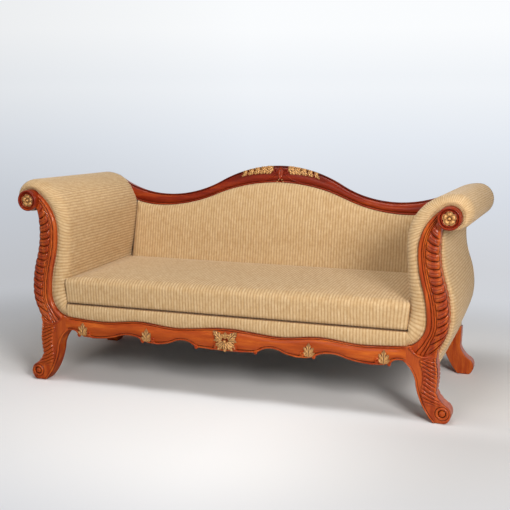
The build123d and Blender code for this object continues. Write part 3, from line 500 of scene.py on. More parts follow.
ALONG, UPWARD = (0.9, 9.0, 9.0), (9.0, 9.0, 0.9)
WOOD_HOLLOW_SHADE = (0.038, 0.005, 0.002)
SHOW_WOOD = (0.54, 0.124, 0.015), (0.34, 0.046, 0.006), (0.20, 0.018, 0.003), WOOD_HOLLOW_SHADE
# The crest rail, its volutes and the arm roundels take a darker copy of the show wood, painted shade
SHADED_SHOW_WOOD = (0.34, 0.049, 0.007), (0.195, 0.017, 0.004), (0.125, 0.008, 0.002), WOOD_HOLLOW_SHADE
RAW_WOOD = (0.62, 0.44, 0.26), (0.52, 0.35, 0.19), (0.42, 0.27, 0.14), (0.2, 0.12, 0.06)
# The last gold is the painted highlight of the ridges
OLD_GOLD = (0.36, 0.155, 0.042), (0.58, 0.30, 0.095), (0.045, 0.013, 0.005), (0.84, 0.56, 0.24)
# The last chenille colour is the painted shade of gaps and seams
CHENILLE = (0.71, 0.535, 0.322), (0.59, 0.405, 0.21), (0.35, 0.20, 0.08), (0.13, 0.05, 0.014)
wood_along = wood_material("show_wood_along", ALONG, *SHOW_WOOD)
shaded_show_wood = wood_material("shaded_show_wood", ALONG, *SHADED_SHOW_WOOD)
wood_up = wood_material("show_wood_up", UPWARD, *SHOW_WOOD, coat=0.26)
raw_wood = wood_material("frame_wood", ALONG, *RAW_WOOD, gloss=0.6, coat=0.0)
gilt = gilt_material("old_gold", *OLD_GOLD)
cloth = cloth_material("ribbed_chenille", *CHENILLE)
dust_cloth = plain_material("black_cambric", (0.012, 0.012, 0.012), (0.03, 0.03, 0.03), 900.0, 0.9)
strap_cloth = plain_material("jute_webbing", (0.36, 0.27, 0.16), (0.22, 0.15, 0.08), 300.0, 0.9)
foam = plain_material("pale_foam", (0.78, 0.72, 0.55), (0.68, 0.6, 0.42), 200.0, 0.9)
glide = plain_material("dark_glide", (0.03, 0.025, 0.02), (0.05, 0.045, 0.04), 250.0, 0.5)
steel = plain_material("screw_steel", (0.5, 0.5, 0.5), (0.4, 0.4, 0.4), 600.0, 0.35, 1.0)

# Carved arm facing: reeds along the inner edge and a row of slanting gadroons outside them
FACING_ROWS, LOBES = 520, 17


def facing_edge(toe, bulge, waist, eye_angle):
    """One edge of the facing, from its toe up to the eye."""
    eye_end = circle(EYE, EYE_RADIUS, eye_angle, eye_angle, 1)[0]
    run = join(arc_to(bulge, toe, (0, -1))[::-1], s_curve(bulge, waist), arc_to(waist, eye_end, (0, 1)))
    return resample(run, FACING_ROWS)


facing_inner = facing_edge(TOE_INNER, INNER_BULGE, INNER_WAIST, 100)
facing_outer = facing_edge(TOE_OUTER, OUTER_BULGE, OUTER_WAIST, 230)
toe_line = arc_through(TOE_INNER, TOE_BOTTOM, TOE_OUTER, 60)


def gadroon(s, tau, slant, bow=1.0):
    """Rounded lobes with narrow grooves, and the place within each lobe."""
    phase = LOBES * s - slant * tau**bow
    part = phase - np.floor(phase)
    return np.sin(np.pi * part ** 0.9) ** 0.55, part


def make_facing():
    columns, face, slant, lobe_height = 84, 350.0, 1.3, 12.5
    s, t = unit_grid(FACING_ROWS, columns)
    split = np.interp(s, (0, 0.15, 0.5, 0.8, 1), (0.50, 0.48, 0.38, 0.29, 0.29))
    tau, reed = np.clip((t - split) / (1 - split), 0, 1), t * 0.39 / split
    lobe, part = gadroon(s, tau, slant, 1.7)
    edge_lobe = gadroon(s, np.ones((1, 1)), slant)[0]
    quiet = smooth(s, 0.92, 0.86) * smooth(s, 0.0, 0.02)
    ahead = np.gradient(facing_outer, axis=0)
    outward = np.stack([ahead[:, 1], -ahead[:, 0]], 1) / np.linalg.norm(ahead, axis=1)[:, None]
    outer = facing_outer + outward * (3.4 * (edge_lobe - 0.62) * quiet)
    sag = resample(toe_line, columns) - ruled(facing_inner[:1], facing_outer[:1], t)[0]
    points = ruled(facing_inner, outer, t) + sag[None] * (np.clip(1 - s / 0.10, 0, 1) ** 1.6)[..., None]
    reeds = sum(height * half_round(reed, centre, half)
                for height, centre, half in ((7.0, 0.105, 0.09), (8.0, 0.25, 0.05), (6.5, 0.343, 0.04)))
    body = lobe_height * np.clip(1 - np.abs(2 * tau - 0.94) ** 2.6, 0, 1) ** 0.6
    flute = np.abs(np.sin(2 * np.pi * part)) ** 0.7
    curl = 3.0 * np.exp(-((tau - 0.09) / 0.05) ** 2 - ((part - 0.55) / 0.2) ** 2)
    carved = lobe * (0.80 + 0.20 * flute) * quiet + 0.55 * (1 - quiet)
    lobes = np.where(tau > 0, body * (0.2 + 0.8 * carved) + curl * quiet, 0)
    forward = face + reeds * (1 - 0.4 * smooth(s, 0.96, 1)) + lobes
    # The gadroon band is set a little darker than the reeds, and painted shade runs along the edge next to
    # the cloth
    depth = hollows(forward, 8) + 0.22 * smooth(reed, 0.38, 0.42) * quiet
    depth[:, :2] = 0.3
    return board(points, forward, -FACING_BACK, upright, np.clip(depth, -1, 1))


pair("arm_facing", make_facing(), wood_up, "show_wood")

# Crescent bead under the toe of each facing
along = np.linspace(0, 1, 70)
bead_line = resample(arc_through((739, 281), (788, 251), (837, 278)), 70)
bead = tube(upright(bead_line[:, 0], bead_line[:, 1], 363.0), 0.8 + 3.2 * np.sqrt(1 - along**4), 14)
toe_bead = gather(bead, ball((738.5, 281.5), 363.5, 6.8))
for side in ("right", "left"):
    piece(f"toe_bead_{side}", toe_bead, wood_up, "show_wood", flip=side == "left")


def turned(profile, centre, count=112):
    """A turned shape about a line through centre that faces the front: (radius, forward) points."""
    radius, forward = np.array(profile, float).T
    angle = np.linspace(0, math.tau, count, endpoint=False)[:, None]
    loops = upright(centre[0] + radius * np.cos(angle), centre[1] + radius * np.sin(angle), forward)
    verts, faces = closed_loops(np.swapaxes(loops, 0, 1))
    dip = hollows(np.repeat(forward[:, None], 3, 1), 6)[:, :1]
    return verts, faces, np.repeat(dip, count, 1).ravel()


def ring_profile(points, steps=7):
    """Rounds a turned profile by running a smooth line through its points."""
    line = np.array(points, float)
    u = np.linspace(0, len(line) - 1, (len(line) - 1) * steps + 1)
    k = np.clip(u.astype(int), 0, len(line) - 2)
    f = (u - k)[:, None]
    p0, p1, p2, p3 = (line[np.clip(k + d, 0, len(line) - 1)] for d in (-1, 0, 1, 2))
    square, cube = 2 * p0 - 5 * p1 + 4 * p2 - p3, 3 * p1 - p0 - 3 * p2 + p3
    return 0.5 * (2 * p1 + (p2 - p0) * f + square * f**2 + cube * f**3)


ROUNDEL = [(20, 340), (42, 340), (42, 358), (42.5, 374), (43.5, 378), (42, 383), (38, 386), (34.5, 383),
           (33.6, 378), (32.4, 377), (31, 381), (28.5, 382.5), (26.5, 380), (25.6, 374), (20, 373), (8, 373),
           (0.5, 373)]
pair("arm_roundel", turned(ring_profile(ROUNDEL), EYE), shaded_show_wood, "show_wood")


def make_rosette():
    m, n, size, base, back = 150, 26, 26.5, 374.5, 372.0
    angle, r = np.linspace(0, math.tau, m, endpoint=False)[None, :], np.linspace(0.02, 1, n)[:, None]
    cup = np.abs(np.cos(2.5 * (angle - math.pi / 2)))
    reach = size * (0.76 + 0.24 * cup ** 0.55)
    p = np.clip((r - 0.30) / 0.70, 0, 1)
    petal = np.sin(np.pi * np.clip(p, 0, 0.82) / 0.9) ** 0.7 * (0.25 + 0.75 * cup ** 0.6)
    petal = petal - 0.12 * np.exp(-((cup - 1) / 0.05) ** 2) * p
    height = base + 8.0 * petal + 9.5 * half_round(r, 0, 0.27) + 2.2 * p ** 3
    x, z = EYE[0] + reach * r * np.cos(angle), EYE[1] + reach * r * np.sin(angle)
    loops = np.concatenate([upright(x, z, height), upright(x[-1:], z[-1:], np.full((1, m), back))])
    verts, faces = closed_loops(loops)
    dip = hollows(np.pad(height, ((0, 0), (6, 6)), mode="wrap"), 5)[:, 6:-6]
    return verts, faces, np.concatenate([dip, np.ones((1, m))]).ravel()


pair("arm_rosette", make_rosette(), gilt, "gilt")

# Curves that the front and the rear legs share
heel, foot_back = circle(FOOT_EYE, HEEL_RADIUS, 55, 55, 1)[0], FOOT_EYE + (HEEL_RADIUS, 0)
shin = arc_through((757, 155), (778, 77.5), (826, SOLE))
calf = arc_through((836, 121), (852, 91), heel)
scroll = arc_through(heel, foot_back, (878, SOLE))

# Front legs
LEG_ROWS = 300
leg_inner = resample(join(np.array([(712.0, LEG_TOP), (712.0, 228.0)]),
                          arc_through((712, 228), (740.5, 196.5), (757, 155)), shin), LEG_ROWS)
leg_outer = resample(join(np.array([(839.0, 283.7), (835.0, 240.0)]),
                          arc_through((835, 240), (841, 196), (836, 121)), calf, scroll), LEG_ROWS)


def make_front_leg():
    slant, lobe_height = 2.0, 8.0
    s, t = unit_grid(LEG_ROWS, 76)
    # The leg's stations follow its height, so that the lobes cross it evenly
    zs = np.interp(np.linspace(0, 1, LEG_ROWS), (0, 1), (LEG_TOP, SOLE))
    order_in, order_out = np.argsort(leg_inner[:, 1]), np.argsort(leg_outer[:, 1])
    reach = np.interp(zs, (SOLE, 41, 67, 121, LEG_TOP), (1, 0.86, 0.74, 0.52, 0))
    inner = at_lengths(leg_inner, np.interp(zs, leg_inner[order_in, 1], lengths(leg_inner)[order_in]))
    run = lengths(leg_outer)
    knee = np.interp(121, leg_outer[order_out, 1], run[order_out])
    marks = [run[np.argmin(np.hypot(*(leg_outer - p).T))] for p in (heel, foot_back)]
    outer = at_lengths(leg_outer, np.interp(reach, (0, 0.52, 0.74, 0.86, 1), (0, knee, *marks, run[-1])))
    level = zs[:, None]
    start = np.interp(level, (50, 95, 170, 250), (0.06, 0.14, 0.36, 0.50))
    start = start + 0.03 * np.abs(np.sin(np.pi * LOBES * s))
    tau = np.clip((t - start) / (1 - start), 0, 1)
    lobe, part = gadroon(s, tau, slant)
    edge = gadroon(s, np.ones((1, 1)), slant)[0]
    carved = smooth(s, 0.09, 0.15) * smooth(s, 0.80, 0.70)
    outer = outer + np.stack([2.6 * (edge - 0.6) * carved, 0 * edge], -1)[:, 0]
    points = ruled(inner, outer, t)
    chord = ruled(inner[:1], outer[:1], t)[0]
    top_x = chord[:, 0]
    top_z = np.where(top_x < TOE_INNER[0], np.interp(top_x, (712, TOE_INNER[0]), (280, 288)),
                     np.interp(top_x, toe_line[:, 0], toe_line[:, 1] - 0.5))
    points[..., 1] += (top_z - chord[:, 1])[None] * np.clip(1 - s / 0.2, 0, 1) ** 1.5
    width = np.linalg.norm(outer - inner, axis=1)[:, None]
    d_in, d_out = t * width, (1 - t) * width
    below_rail = smooth(level, 232, 214)
    ease_in, ease_out = (5.5 * (np.clip(d / 5, 0, 1) ** 0.5 - 1) for d in (d_in, d_out))
    soft_edge = ease_in * below_rail + ease_out - 3.0 * smooth(d_in, 11.0, 0.0) * (1 - below_rail)
    line = (3.0 * half_round(d_in, 5.0, 4.2) - 1.8 * np.exp(-((d_in - 10.5) / 1.3) ** 2)) * below_rail
    body = np.clip(1 - np.abs(2 * tau - 0.95) ** 2.4, 0, 1) ** 0.6
    rounds = 0.1 + 0.9 * lobe * (0.8 + 0.2 * np.abs(np.sin(2 * np.pi * part)))
    tips = carved * 2.4 * np.exp(-((tau - 0.12) / 0.06) ** 2 - ((part - 0.6) / 0.2) ** 2)
    lobes = np.where(tau > 0, carved * lobe_height * body * rounds, 0) + np.where(tau > 0, tips, 0)
    for z in np.arange(186.0, 256.0, 10.0):
        lobes = np.maximum(lobes, 7.5 * half_round(np.hypot(d_out - 6.0, points[..., 1] - z), 0, 4.6))
    far = np.hypot(points[..., 0] - FOOT_EYE[0], points[..., 1] - FOOT_EYE[1])
    disc = 7.0 * half_round(far, 20, 5.5) - 2.5 * np.exp(-((far - 13.5) / 2.0) ** 2)
    disc = disc + 7.5 * half_round(far, 0, 12.5) ** 0.8
    disc += 3.5 * smooth(far, 44, 27) * smooth(far, 23, 27) - 2.4 * np.exp(-((far - 26.3) / 1.6) ** 2)
    forward = KNEE_FACE + soft_edge + line + lobes + disc
    # The gadroons are set a little darker, and the plain inner part of the leg is paled towards the top as
    # painted highlight
    depth = hollows(forward, 8) + np.where(tau > 0, 0.08 * carved, -0.35 * smooth(level, 120, 200))
    return board(points, forward, 300.0, upright, np.clip(depth, -1, 1))


pair("front_leg", make_front_leg(), wood_up, "show_wood")

# Rear legs: the same outline sawn from a plain board with eased edges
rear_in = resample(join(np.array([(757.0, 208.0), (757.0, 155.0)]), shin), 90)
rear_out = resample(join(np.array([(839.0, 208.0), (836.0, 121.0)]), calf, scroll), 90)
t = np.concatenate([(0, 0.015, 0.04), np.linspace(0.08, 0.92, 14), (0.96, 0.985, 1)])[None, :]
rear_points = ruled(rear_in, rear_out, t)
rear_edge = 3.5 * (np.clip(np.minimum(t, 1 - t) / 0.05, 0, 1) ** 0.5 - 1)
rear_face = -288.0 + rear_edge + 0 * rear_points[..., 0]
pair("rear_leg", board(rear_points, rear_face, -338.0, upright), wood_up, "show_wood")


# Carved front rail
def apron_edges(count):
    """Lower and upper edge heights along the rail."""
    half = SEAT_HALF
    wave = np.array([(0, 16), (0.3, 0), (0.53, 13), (0.755, -1), (1, 8)], float)
    xs = np.concatenate([-wave[:0:-1, 0], wave[:, 0]]) * half
    zs = APRON_TOP + np.concatenate([wave[:0:-1, 1], wave[:, 1]])
    fine = ring_profile(np.stack([xs, zs], 1), 40)
    low, lip, dip, arch = (APRON_BOTTOM + rise for rise in (-3, 2, 12, 24))
    ends = (0.18, 0.484, 0.89)
    first = ends[0] * half
    runs = [arc_through((0, low), (first * 0.55, APRON_BOTTOM - 1.4), (first, lip))]
    for a, b in zip(ends[:-1], ends[1:]):
        crown, turn, foot = (half * (a + k * (b - a)) for k in (0.24, 0.48, 0.7))
        runs.append(arc_through((a * half, lip), (crown, arch), (turn, dip)))
        runs.append(arc_through((turn, dip), (foot, APRON_BOTTOM), (b * half, lip)))
    runs.append(arc_through((ends[-1] * half, lip), (0.95 * half, arch), (half, arch - 2)))
    edge = join(*runs)
    x = np.linspace(-half, half, count)
    return x, np.interp(np.abs(x), edge[:, 0], edge[:, 1]), np.interp(x, fine[:, 0], fine[:, 1])


def make_apron():
    face, back = 350.5, 340.0
    x, low, high = apron_edges(900)
    t = np.linspace(0, 1, 56)[None, :]
    z = low[:, None] * (1 - t) + high[:, None] * t
    below, above = z - low[:, None], high[:, None] - z
    tau = np.clip((below - 9) / np.maximum(below + above - 14.5, 1), 0, 1)
    field = 8.5 * np.clip(np.sin(np.pi * tau ** 0.8), 0, 1) ** 0.55
    forward = face + 7.5 * half_round(below, 4.8, 5.0) + field + 5.0 * half_round(above, 2.6, 2.8)
    forward += 2.5 * smooth(below, 8.5, 10) * smooth(above, 5, 7) - 1.6 * np.exp(-((below - 10.2) / 1.1) ** 2)
    # The ends run on into the knees of the legs
    plain = smooth(np.abs(x), 690, 719)[:, None] * smooth(below, 9, 13)
    forward = forward * (1 - plain) + KNEE_FACE * plain
    points = np.stack(np.broadcast_arrays(x[:, None], z), -1)
    # Painted shade along the top edge where the cloth meets it and in the recess behind the cartouche;
    # painted highlight along the middle of the field
    recess = np.exp(-((x[:, None] / 44.0) ** 2 + ((z - 246.0) / 33.0) ** 2) ** 2)
    wear_and_highlight = 0.45 * np.sin(np.pi * tau) * smooth(below, 10, 14)
    depth = hollows(forward) + 0.4 * smooth(above, 5, 1) - wear_and_highlight + 0.8 * recess
    return board(points, forward, back, upright, np.clip(depth, -1, 1))


piece("front_apron_look", make_apron(), wood_along, "show_wood", nodes=["front_apron"])


def leaf(base, angle, length, width, rise, floor, place, bend=0.0, lobes=3.5):
    """One carved leaf with a grooved midrib, scalloped sides and a lifted tip."""
    m, n = 40, 19
    u, v = np.linspace(0, 1, m), np.linspace(-1, 1, n)[None, :]
    heading = math.radians(angle) + bend * u
    way = np.stack([np.cos(heading), np.sin(heading)], 1)
    steps = np.cumsum(np.concatenate([np.zeros((1, 2)), way[:-1]]), 0)
    spine = np.array(base, float) + steps * length / (m - 1)
    side = np.stack([-way[:, 1], way[:, 0]], 1)
    scallop = 0.76 + 0.24 * np.abs(np.sin(np.pi * lobes * u))
    outline = (0.22 * (1 - u) + np.sin(np.pi * u ** 0.78)) * scallop
    half = np.maximum(width / 2 * outline, 0.3)[:, None]
    sweep = 0.10 * length * np.abs(v) ** 1.4 * np.sin(np.pi * u)[:, None]
    points = spine[:, None] + side[:, None] * (half * v)[..., None] + way[:, None] * sweep[..., None]
    u = u[:, None]
    arch = 0.30 + 0.70 * np.sqrt(np.clip(1 - 0.92 * v**2, 0, 1))
    dome = arch * (0.45 + 0.55 * np.sin(np.pi * np.clip(u, 0.02, 1) ** 0.6))
    veins = 0.20 * np.cos(math.tau * lobes * (u - 0.16 * np.abs(v))) * np.abs(v) ** 0.7
    rib = -0.34 * np.exp(-(v / 0.14) ** 2) * smooth(u, 1, 0.8)
    forward = floor + rise * (dome + veins * np.sin(np.pi * u) + rib + 0.5 * u**3)
    depth = np.clip(hollows(forward, 5) * 1.6 + 0.25 * (1 - dome), -1, 1)
    return board(points, forward, floor - 3, place, depth)


def volute(centre, outer, inner, turns, start, way, thick, forward, place, tail=()):
    """A round bead that curls into a scroll, with an optional run of points leading in."""
    count = 90
    angle = math.radians(start) + way * np.linspace(0, math.tau * turns, count)
    radius = outer + (inner - outer) * np.linspace(0, 1, count) ** 0.8
    line = np.array(centre) + radius[:, None] * np.stack([np.cos(angle), np.sin(angle)], 1)
    if len(tail):
        lead = ring_profile(np.concatenate([np.array(tail, float), line[:1]]), 12)
        line = np.concatenate([lead[:-1], line])
    share = np.linspace(0, 1, len(line))
    size = thick * np.interp(share, (0, 0.3, 0.85, 1), (0.15, 1, 0.95, 1.5))
    rise = forward + np.interp(share, (0, 0.25, 0.5, 1), (-4.0, 0, 0.5, 2.0))
    return tube(place(line[:, 0], line[:, 1], rise), size, 12)


# Gilt leaves on the front rail, each between two curls of the rail's lower bead
rail_x, rail_low, _ = apron_edges(901)


def rail_beads(xs):
    return [np.array((x, np.interp(x, rail_x, rail_low) + 4.8)) for x in xs]


def rail_curl(centre, outer, way, forward, leads):
    """A scroll that the rail's lower bead runs up into."""
    return volute(centre, outer, 3.0, 1.25, 270, way, 4.4, forward, upright, tail=rail_beads(leads))


def rail_drop(centre, way, leads):
    """A small hanging end of the rail's lower bead."""
    return volute(centre, 4.2, 2.4, 0.9, 90 + way * 10, way, 4.8, 358.5, upright, tail=rail_beads(leads))


leaf_shapes, scroll_shapes = [], []
for share in (-0.885, -0.478, 0.478, 0.885):
    out = math.copysign(1, share)
    base = np.array((share * SEAT_HALF, APRON_BOTTOM + 6))
    leaf_shapes.append(leaf(base, 90, 57, 24, 7.0, 361, upright))
    for way in (-1, 1):
        for up, spread, length, width, rise in ((17, 44, 29, 15, 6.0), (6, 66, 26, 14, 5.5)):
            leaf_shapes.append(leaf(base + (way * 2, up), 90 - way * spread, length, width, rise, 360.5,
                                    upright, way * 0.3, 1.5))
    curl, drop = base + (-out * 27, 13), base + (out * 20, 2)
    scroll_shapes.append(rail_curl(curl, 8.5, out, 361.0, [curl[0] - out * d for d in (60, 38, 17)]))
    scroll_shapes.append(rail_drop(drop, out, [drop[0] + out * d for d in (60, 38, 17)]))
piece("apron_leaves_look", gather(*leaf_shapes), gilt, "gilt", nodes=["apron_leaves"])

# Gilt cartouche: two ears, a recessed palmette and a spreading flower below
middle = np.array((0.0, 243.5))
cartouche = []
for way in (-1, 1):
    out = 90 - way * 90
    for spot, angle, length, width, rise, floor, bend, lobes in (
            ((way * 14, 4), 90 - way * 40, 50, 26, 7.5, 361, -way * 0.25, 3.5),
            ((way * 16, 2), 90 - way * 74, 34, 17, 6.5, 360.5, -way * 0.7, 2.5),
            ((way * 8, -2), out - way * 24, 46, 19, 7.0, 361, -way * 0.5, 2.5),
            ((way * 4, -4), out - way * 54, 44, 18, 8.0, 361.5, way * 0.2, 2.5)):
        cartouche.append(leaf(middle + spot, angle, length, width, rise, floor, upright, bend, lobes))
    cartouche.append(volute(middle + (way * 11, 20), 8.5, 3, 1.1, 270, way, 3.8, 362, upright))
    cartouche.append(ball(middle + (way * 27, -31), 366.0, 5.5))
    leads = [way * (40.0 + d) for d in (60, 40, 18)]
    scroll_shapes.append(rail_curl((way * 41.0, 222.0), 9.5, -way, 361.5, leads))
    leads = [way * (127.0 + d) for d in (46, 30, 15)]
    scroll_shapes.append(rail_drop((way * 127.0, 208.5), way, leads))
cartouche.append(leaf(middle + (0, 8), 90, 30, 15, 5.5, 361, upright, lobes=2.5))
cartouche.append(leaf(middle + (0, -4), -90, 38, 19, 8.5, 362, upright, lobes=2.5))
pearl = gather(ball(middle, 370.0, 7.0), ball(middle + (0, -36), 366.0, 6.5))
piece("apron_cartouche_look", gather(*cartouche, pearl), gilt, "gilt", nodes=["apron_cartouche"])
piece("apron_scrolls", gather(*scroll_shapes), wood_along, "show_wood")


# Crest rail
def camel_back(peak, low_x, low, end_radius, end_x=830.0, count=801):
    """Height of a camel-back line along x."""
    turn, foot = (low_x * 0.52, peak - (peak - low) * 0.52), (low_x, low)
    end = (end_x, low + end_radius - math.sqrt(end_radius**2 - (end_x - low_x) ** 2))
    half = join(arc_to((0, peak), turn, (1, 0)), arc_to(foot, turn, (-1, 0))[::-1], arc_to(foot, end, (1, 0)))
    x = np.linspace(-end_x, end_x, count)
    return x, np.interp(np.abs(x), half[:, 0], half[:, 1])


crest_x, crest_high = camel_back(897.0, 545.0, 751.0, 520.0)
_, crest_low = camel_back(820.0, 590.0, 697.0, 430.0)


def make_crest():
    bands = ((0, 0.25, 18), (0.27, 0.75, 20), (0.77, 1, 18))
    t = np.concatenate([np.linspace(*band) for band in bands])[None, :]
    up = crest_low[:, None] * (1 - t) + crest_high[:, None] * t
    below, above = up - crest_low[:, None], crest_high[:, None] - up
    tau = np.clip((below - 10) / np.maximum(below + above - 18, 1), 0, 1)
    field = 8.0 * np.clip(np.sin(np.pi * tau ** 0.9), 0, 1) ** 0.5
    forward = -0.5 + 6.5 * half_round(below, 4.4, 4.5) + field + 6.0 * half_round(above, 3.4, 3.6)
    forward += 2.0 * smooth(below, 9, 10.5) * smooth(above, 6.5, 8.5)
    points = np.stack(np.broadcast_arrays(crest_x[:, None], up), -1)
    # Painted shade along the top edge and on the wood behind the gilt spray in the middle
    spray_shade = smooth(np.abs(crest_x), 250, 190)[:, None] * smooth(t, 0.45, 0.58)
    depth = hollows(forward) + 0.6 * smooth(above, 9, 3) + 0.3 * spray_shade
    return board(points, forward, -34.0, raked, np.clip(depth, -1, 1))


piece("crest_rail_look", make_crest(), shaded_show_wood, "show_wood", nodes=["crest_rail"])


def on_crest(x, share):
    """Point of the crest's face at a share of its height."""
    low, high = np.interp(x, crest_x, crest_low), np.interp(x, crest_x, crest_high)
    return np.array((x, low + share * (high - low)))


def crest_slope(x):
    a, b = on_crest(x - 5, 0.8), on_crest(x + 5, 0.8)
    return math.degrees(math.atan2(b[1] - a[1], b[0] - a[0]))


spray = []
for i in range(5):
    x, fade = 40 + 31.0 * i, 1 - 0.09 * i
    slope = crest_slope(x)
    spray.append(leaf(on_crest(x, 0.90), slope - 60, 47 * fade, 27 * fade, 7.0, 6.0, raked, 1.1, 3.5))
    spray.append(leaf(on_crest(x - 6, 0.93), slope - 10, 40 * fade, 14 * fade, 6.0, 6.0, raked, 0.4, 2.5))
    spray.append(volute(on_crest(x + 17, 0.66), 6.0 * fade, 2.0, 1.1, 120, -1, 2.8 * fade, 8.5, raked))
pair("crest_spray", gather(*spray), gilt, "gilt")

scrolls = []
for way in (-1, 1):
    leads = ((170, 0.07), (110, 0.085), (70, 0.15), (46, 0.28), (27, 0.45))
    tail = [on_crest(way * x, share) for x, share in leads]
    scrolls.append(volute((way * 23, 868), 13.5, 4.0, 1.2, 90 + way * 110, -way, 4.8, 7.5, raked, tail=tail))
wedge = leaf((0, 889), -90, 58, 25, 6.5, 10.0, raked, lobes=1.5)
# The wedge is paled as painted highlight
scrolls.append((wedge[0], wedge[1], np.clip(wedge[2] - 0.5, -1, 1)))
piece("crest_volutes_look", gather(*scrolls), shaded_show_wood, "show_wood", nodes=["crest_volutes"])
beads = []
for spot in ((-14, 823), (0, 819), (14, 823), (-7, 832), (7, 832)):
    verts, faces, dip = turned([(3.4, 0), (3.2, 1.5), (2.2, 3), (0.8, 3.6), (0.1, 3.7)], spot, 16)
    beads.append((raked(verts[:, 0], verts[:, 2], 6.5 - verts[:, 1]), faces, dip))
piece("crest_beads", gather(*beads), gilt, "gilt")


# Inside arms with their rolls
def arm_section(drop, count):
    """Line from the deck up the inside arm, over the roll and in under it."""
    centre = ROLL_CENTRE - (0, drop)
    shoulder = (SHOULDER[0], SHOULDER[1] - drop)
    run = join(np.array([(SEAT_HALF, 272.0), (SEAT_HALF, 471.0)]),
               arc_to(shoulder, (SEAT_HALF, 471), (0, -1))[::-1],
               arc_to(shoulder, centre + (0, ROLL_RADIUS), (0, 1)), circle(centre, ROLL_RADIUS, 90, TUCK, 90))
    return resample(run, count)


def bearing(points):
    """Angle about the eye, falling without a break along a line."""
    return np.unwrap(np.arctan2(points[:, 1] - EYE[1], points[:, 0] - EYE[0]))


def make_arm():
    count, depths, rows_in = 300, 44, 20
    front, low = arm_section(0, count), arm_section(ROLL_DROP, count)
    run = lengths(front)
    wood = join(np.array([(713.0, 283.0), TOE_INNER]), facing_inner,
                circle(EYE, EYE_RADIUS, 100, TUCK - 6, 120))
    wood_run = lengths(wood)
    # Ribs run level from the arm to the facing, and turn about the eye on the roll
    upper = slice(np.argmax(wood[:, 1] > 600), None)
    shoulder = np.argmax(front[:, 1] > SHOULDER[1])
    turn = bearing(front)
    abreast = np.interp(SHOULDER[1], wood[upper][:60, 1], bearing(wood)[upper][:60])
    turn -= np.round((turn[shoulder] - abreast) / math.tau) * math.tau
    radial = np.interp(-turn, -bearing(wood)[upper], wood_run[upper])
    rising = wood[:540]
    marks = np.interp((388.0, 468.0, 612.0), rising[:, 1], wood_run[:540])
    stops = (272, DECK_TOP, 400, 471, 600, SHOULDER[1])
    level = np.interp(front[:, 1], stops, (0, 42, *marks, radial[shoulder]))
    match = np.where(np.arange(count) < shoulder, level, radial)
    match = np.convolve(np.pad(match, 8, mode="edge"), np.ones(17) / 17, "valid")
    wood_edge = at_lengths(wood, match)
    roll = smooth(run, 520, 660)
    ribs = run + 0.42 * np.maximum(run - 540.0, 0)
    upright_part = smooth(front[:, 1], 345, 430)
    full = ARM_FULL + 22.0 * roll
    loops, maps, dips = [], [], []
    for share in np.linspace(1, 0, depths):
        line = front * (1 - share) + low * share
        y = full + (lean_y(line[:, 1]) + 2.0 - full) * share
        loops.append(in_depth(line, y))
        maps.append(y)
        dips.append(np.zeros(count))
    # The front band narrows to the deck's corner at the toe
    inner = front.copy()
    inner[:, 1] = np.maximum(inner[:, 1], 338.0)
    width = np.maximum(np.linalg.norm(wood_edge - inner, axis=1), 22.0)
    band_rows = np.linspace(0.03, 1, rows_in)
    rows = [f * (1 - 13.0 / width) for f in band_rows]
    rows += [1 - d / width for d in (11.8, 10.9, 10.2, 9.5, 8.6, 7.4, 5.4, 2.8, 0.0)]
    for r in rows:
        flat = inner * (1 - r)[:, None] + wood_edge * r[:, None]
        bulge = np.sqrt(np.clip(1 - (1 - np.clip(r / 0.72, 0, 1)) ** 2, 0, 1))
        # The seam groove near the wood is painted a little into shade
        seam_and_gap_shade = np.exp(-((1 - r) * width - 10.2) ** 2 / 1.6)
        band = full - (full - ARM_FRONT) * bulge + 4.0 * smooth(r, 0.75, 1.0)
        border = -341.0 - 12.0 * np.sin(np.pi * np.clip(r, 0, 1)) ** 0.75
        pleat = 1.5 * roll * smooth(r, 0.3, 0.9) * np.cos(math.tau * ribs / RIB_PITCH)
        y = band * upright_part + border * (1 - upright_part) - pleat + 1.3 * seam_and_gap_shade
        loops.append(in_depth(flat, y))
        maps.append(full - 0.9 * r * width - 20 * bulge)
        dips.append(0.25 * seam_and_gap_shade)
    # The last row tucks in behind the wood and is painted in full shade
    loops.append(loops[-1] + (0, 24, 0))
    maps.append(maps[-1] - 24)
    dips.append(np.ones(count))
    loops, maps, dips = np.array(loops), np.array(maps), np.array(dips)
    # Hidden side along the arm's frame, kept behind the facing
    inward = loops.copy()
    inward[..., 1] = np.maximum(inward[..., 1], -318.0)
    end, start = inward[:, -1:], inward[:, :1]
    ledge = end * (0, 1, 1) + (802.0, 0, 0)
    foot = start * (0, 1, 1) + (790.0, 0, 0)
    hidden = np.concatenate([end - (1, 0, 0), ledge, (ledge + foot) / 2, foot, start + (1, 0, 0)], 1)
    verts, faces = closed_loops(np.concatenate([loops, hidden], 1))
    u = np.broadcast_to(ribs, maps.shape)
    uv = np.stack([np.concatenate([a, np.repeat(a[:, -1:], 5, 1)], 1) for a in (u, maps)], -1)
    dips = np.concatenate([dips, np.zeros((len(dips), 5))], 1)
    # The part that can swell: above the cushion, in front of the back, inside the seam and short of the tuck
    free = smooth(loops[..., 2], 470, 560) * smooth(lean_y(loops[..., 2]) - loops[..., 1], 45, 130)
    free *= smooth(run[-1] - run, 30, 110)[None]
    free *= np.concatenate([np.ones(depths), smooth(band_rows, 0.95, 0.5), np.zeros(10)])[:, None]
    free = np.concatenate([free, np.zeros((len(free), 5))], 1)
    return (verts, faces, dips.ravel()), uv.reshape(-1, 2), free.ravel()


arm_shape, arm_map, arm_free = make_arm()
for ob in pair("inside_arm", arm_shape, cloth, "upholstery", uv=arm_map):
    puff(ob, arm_free, 4.0)


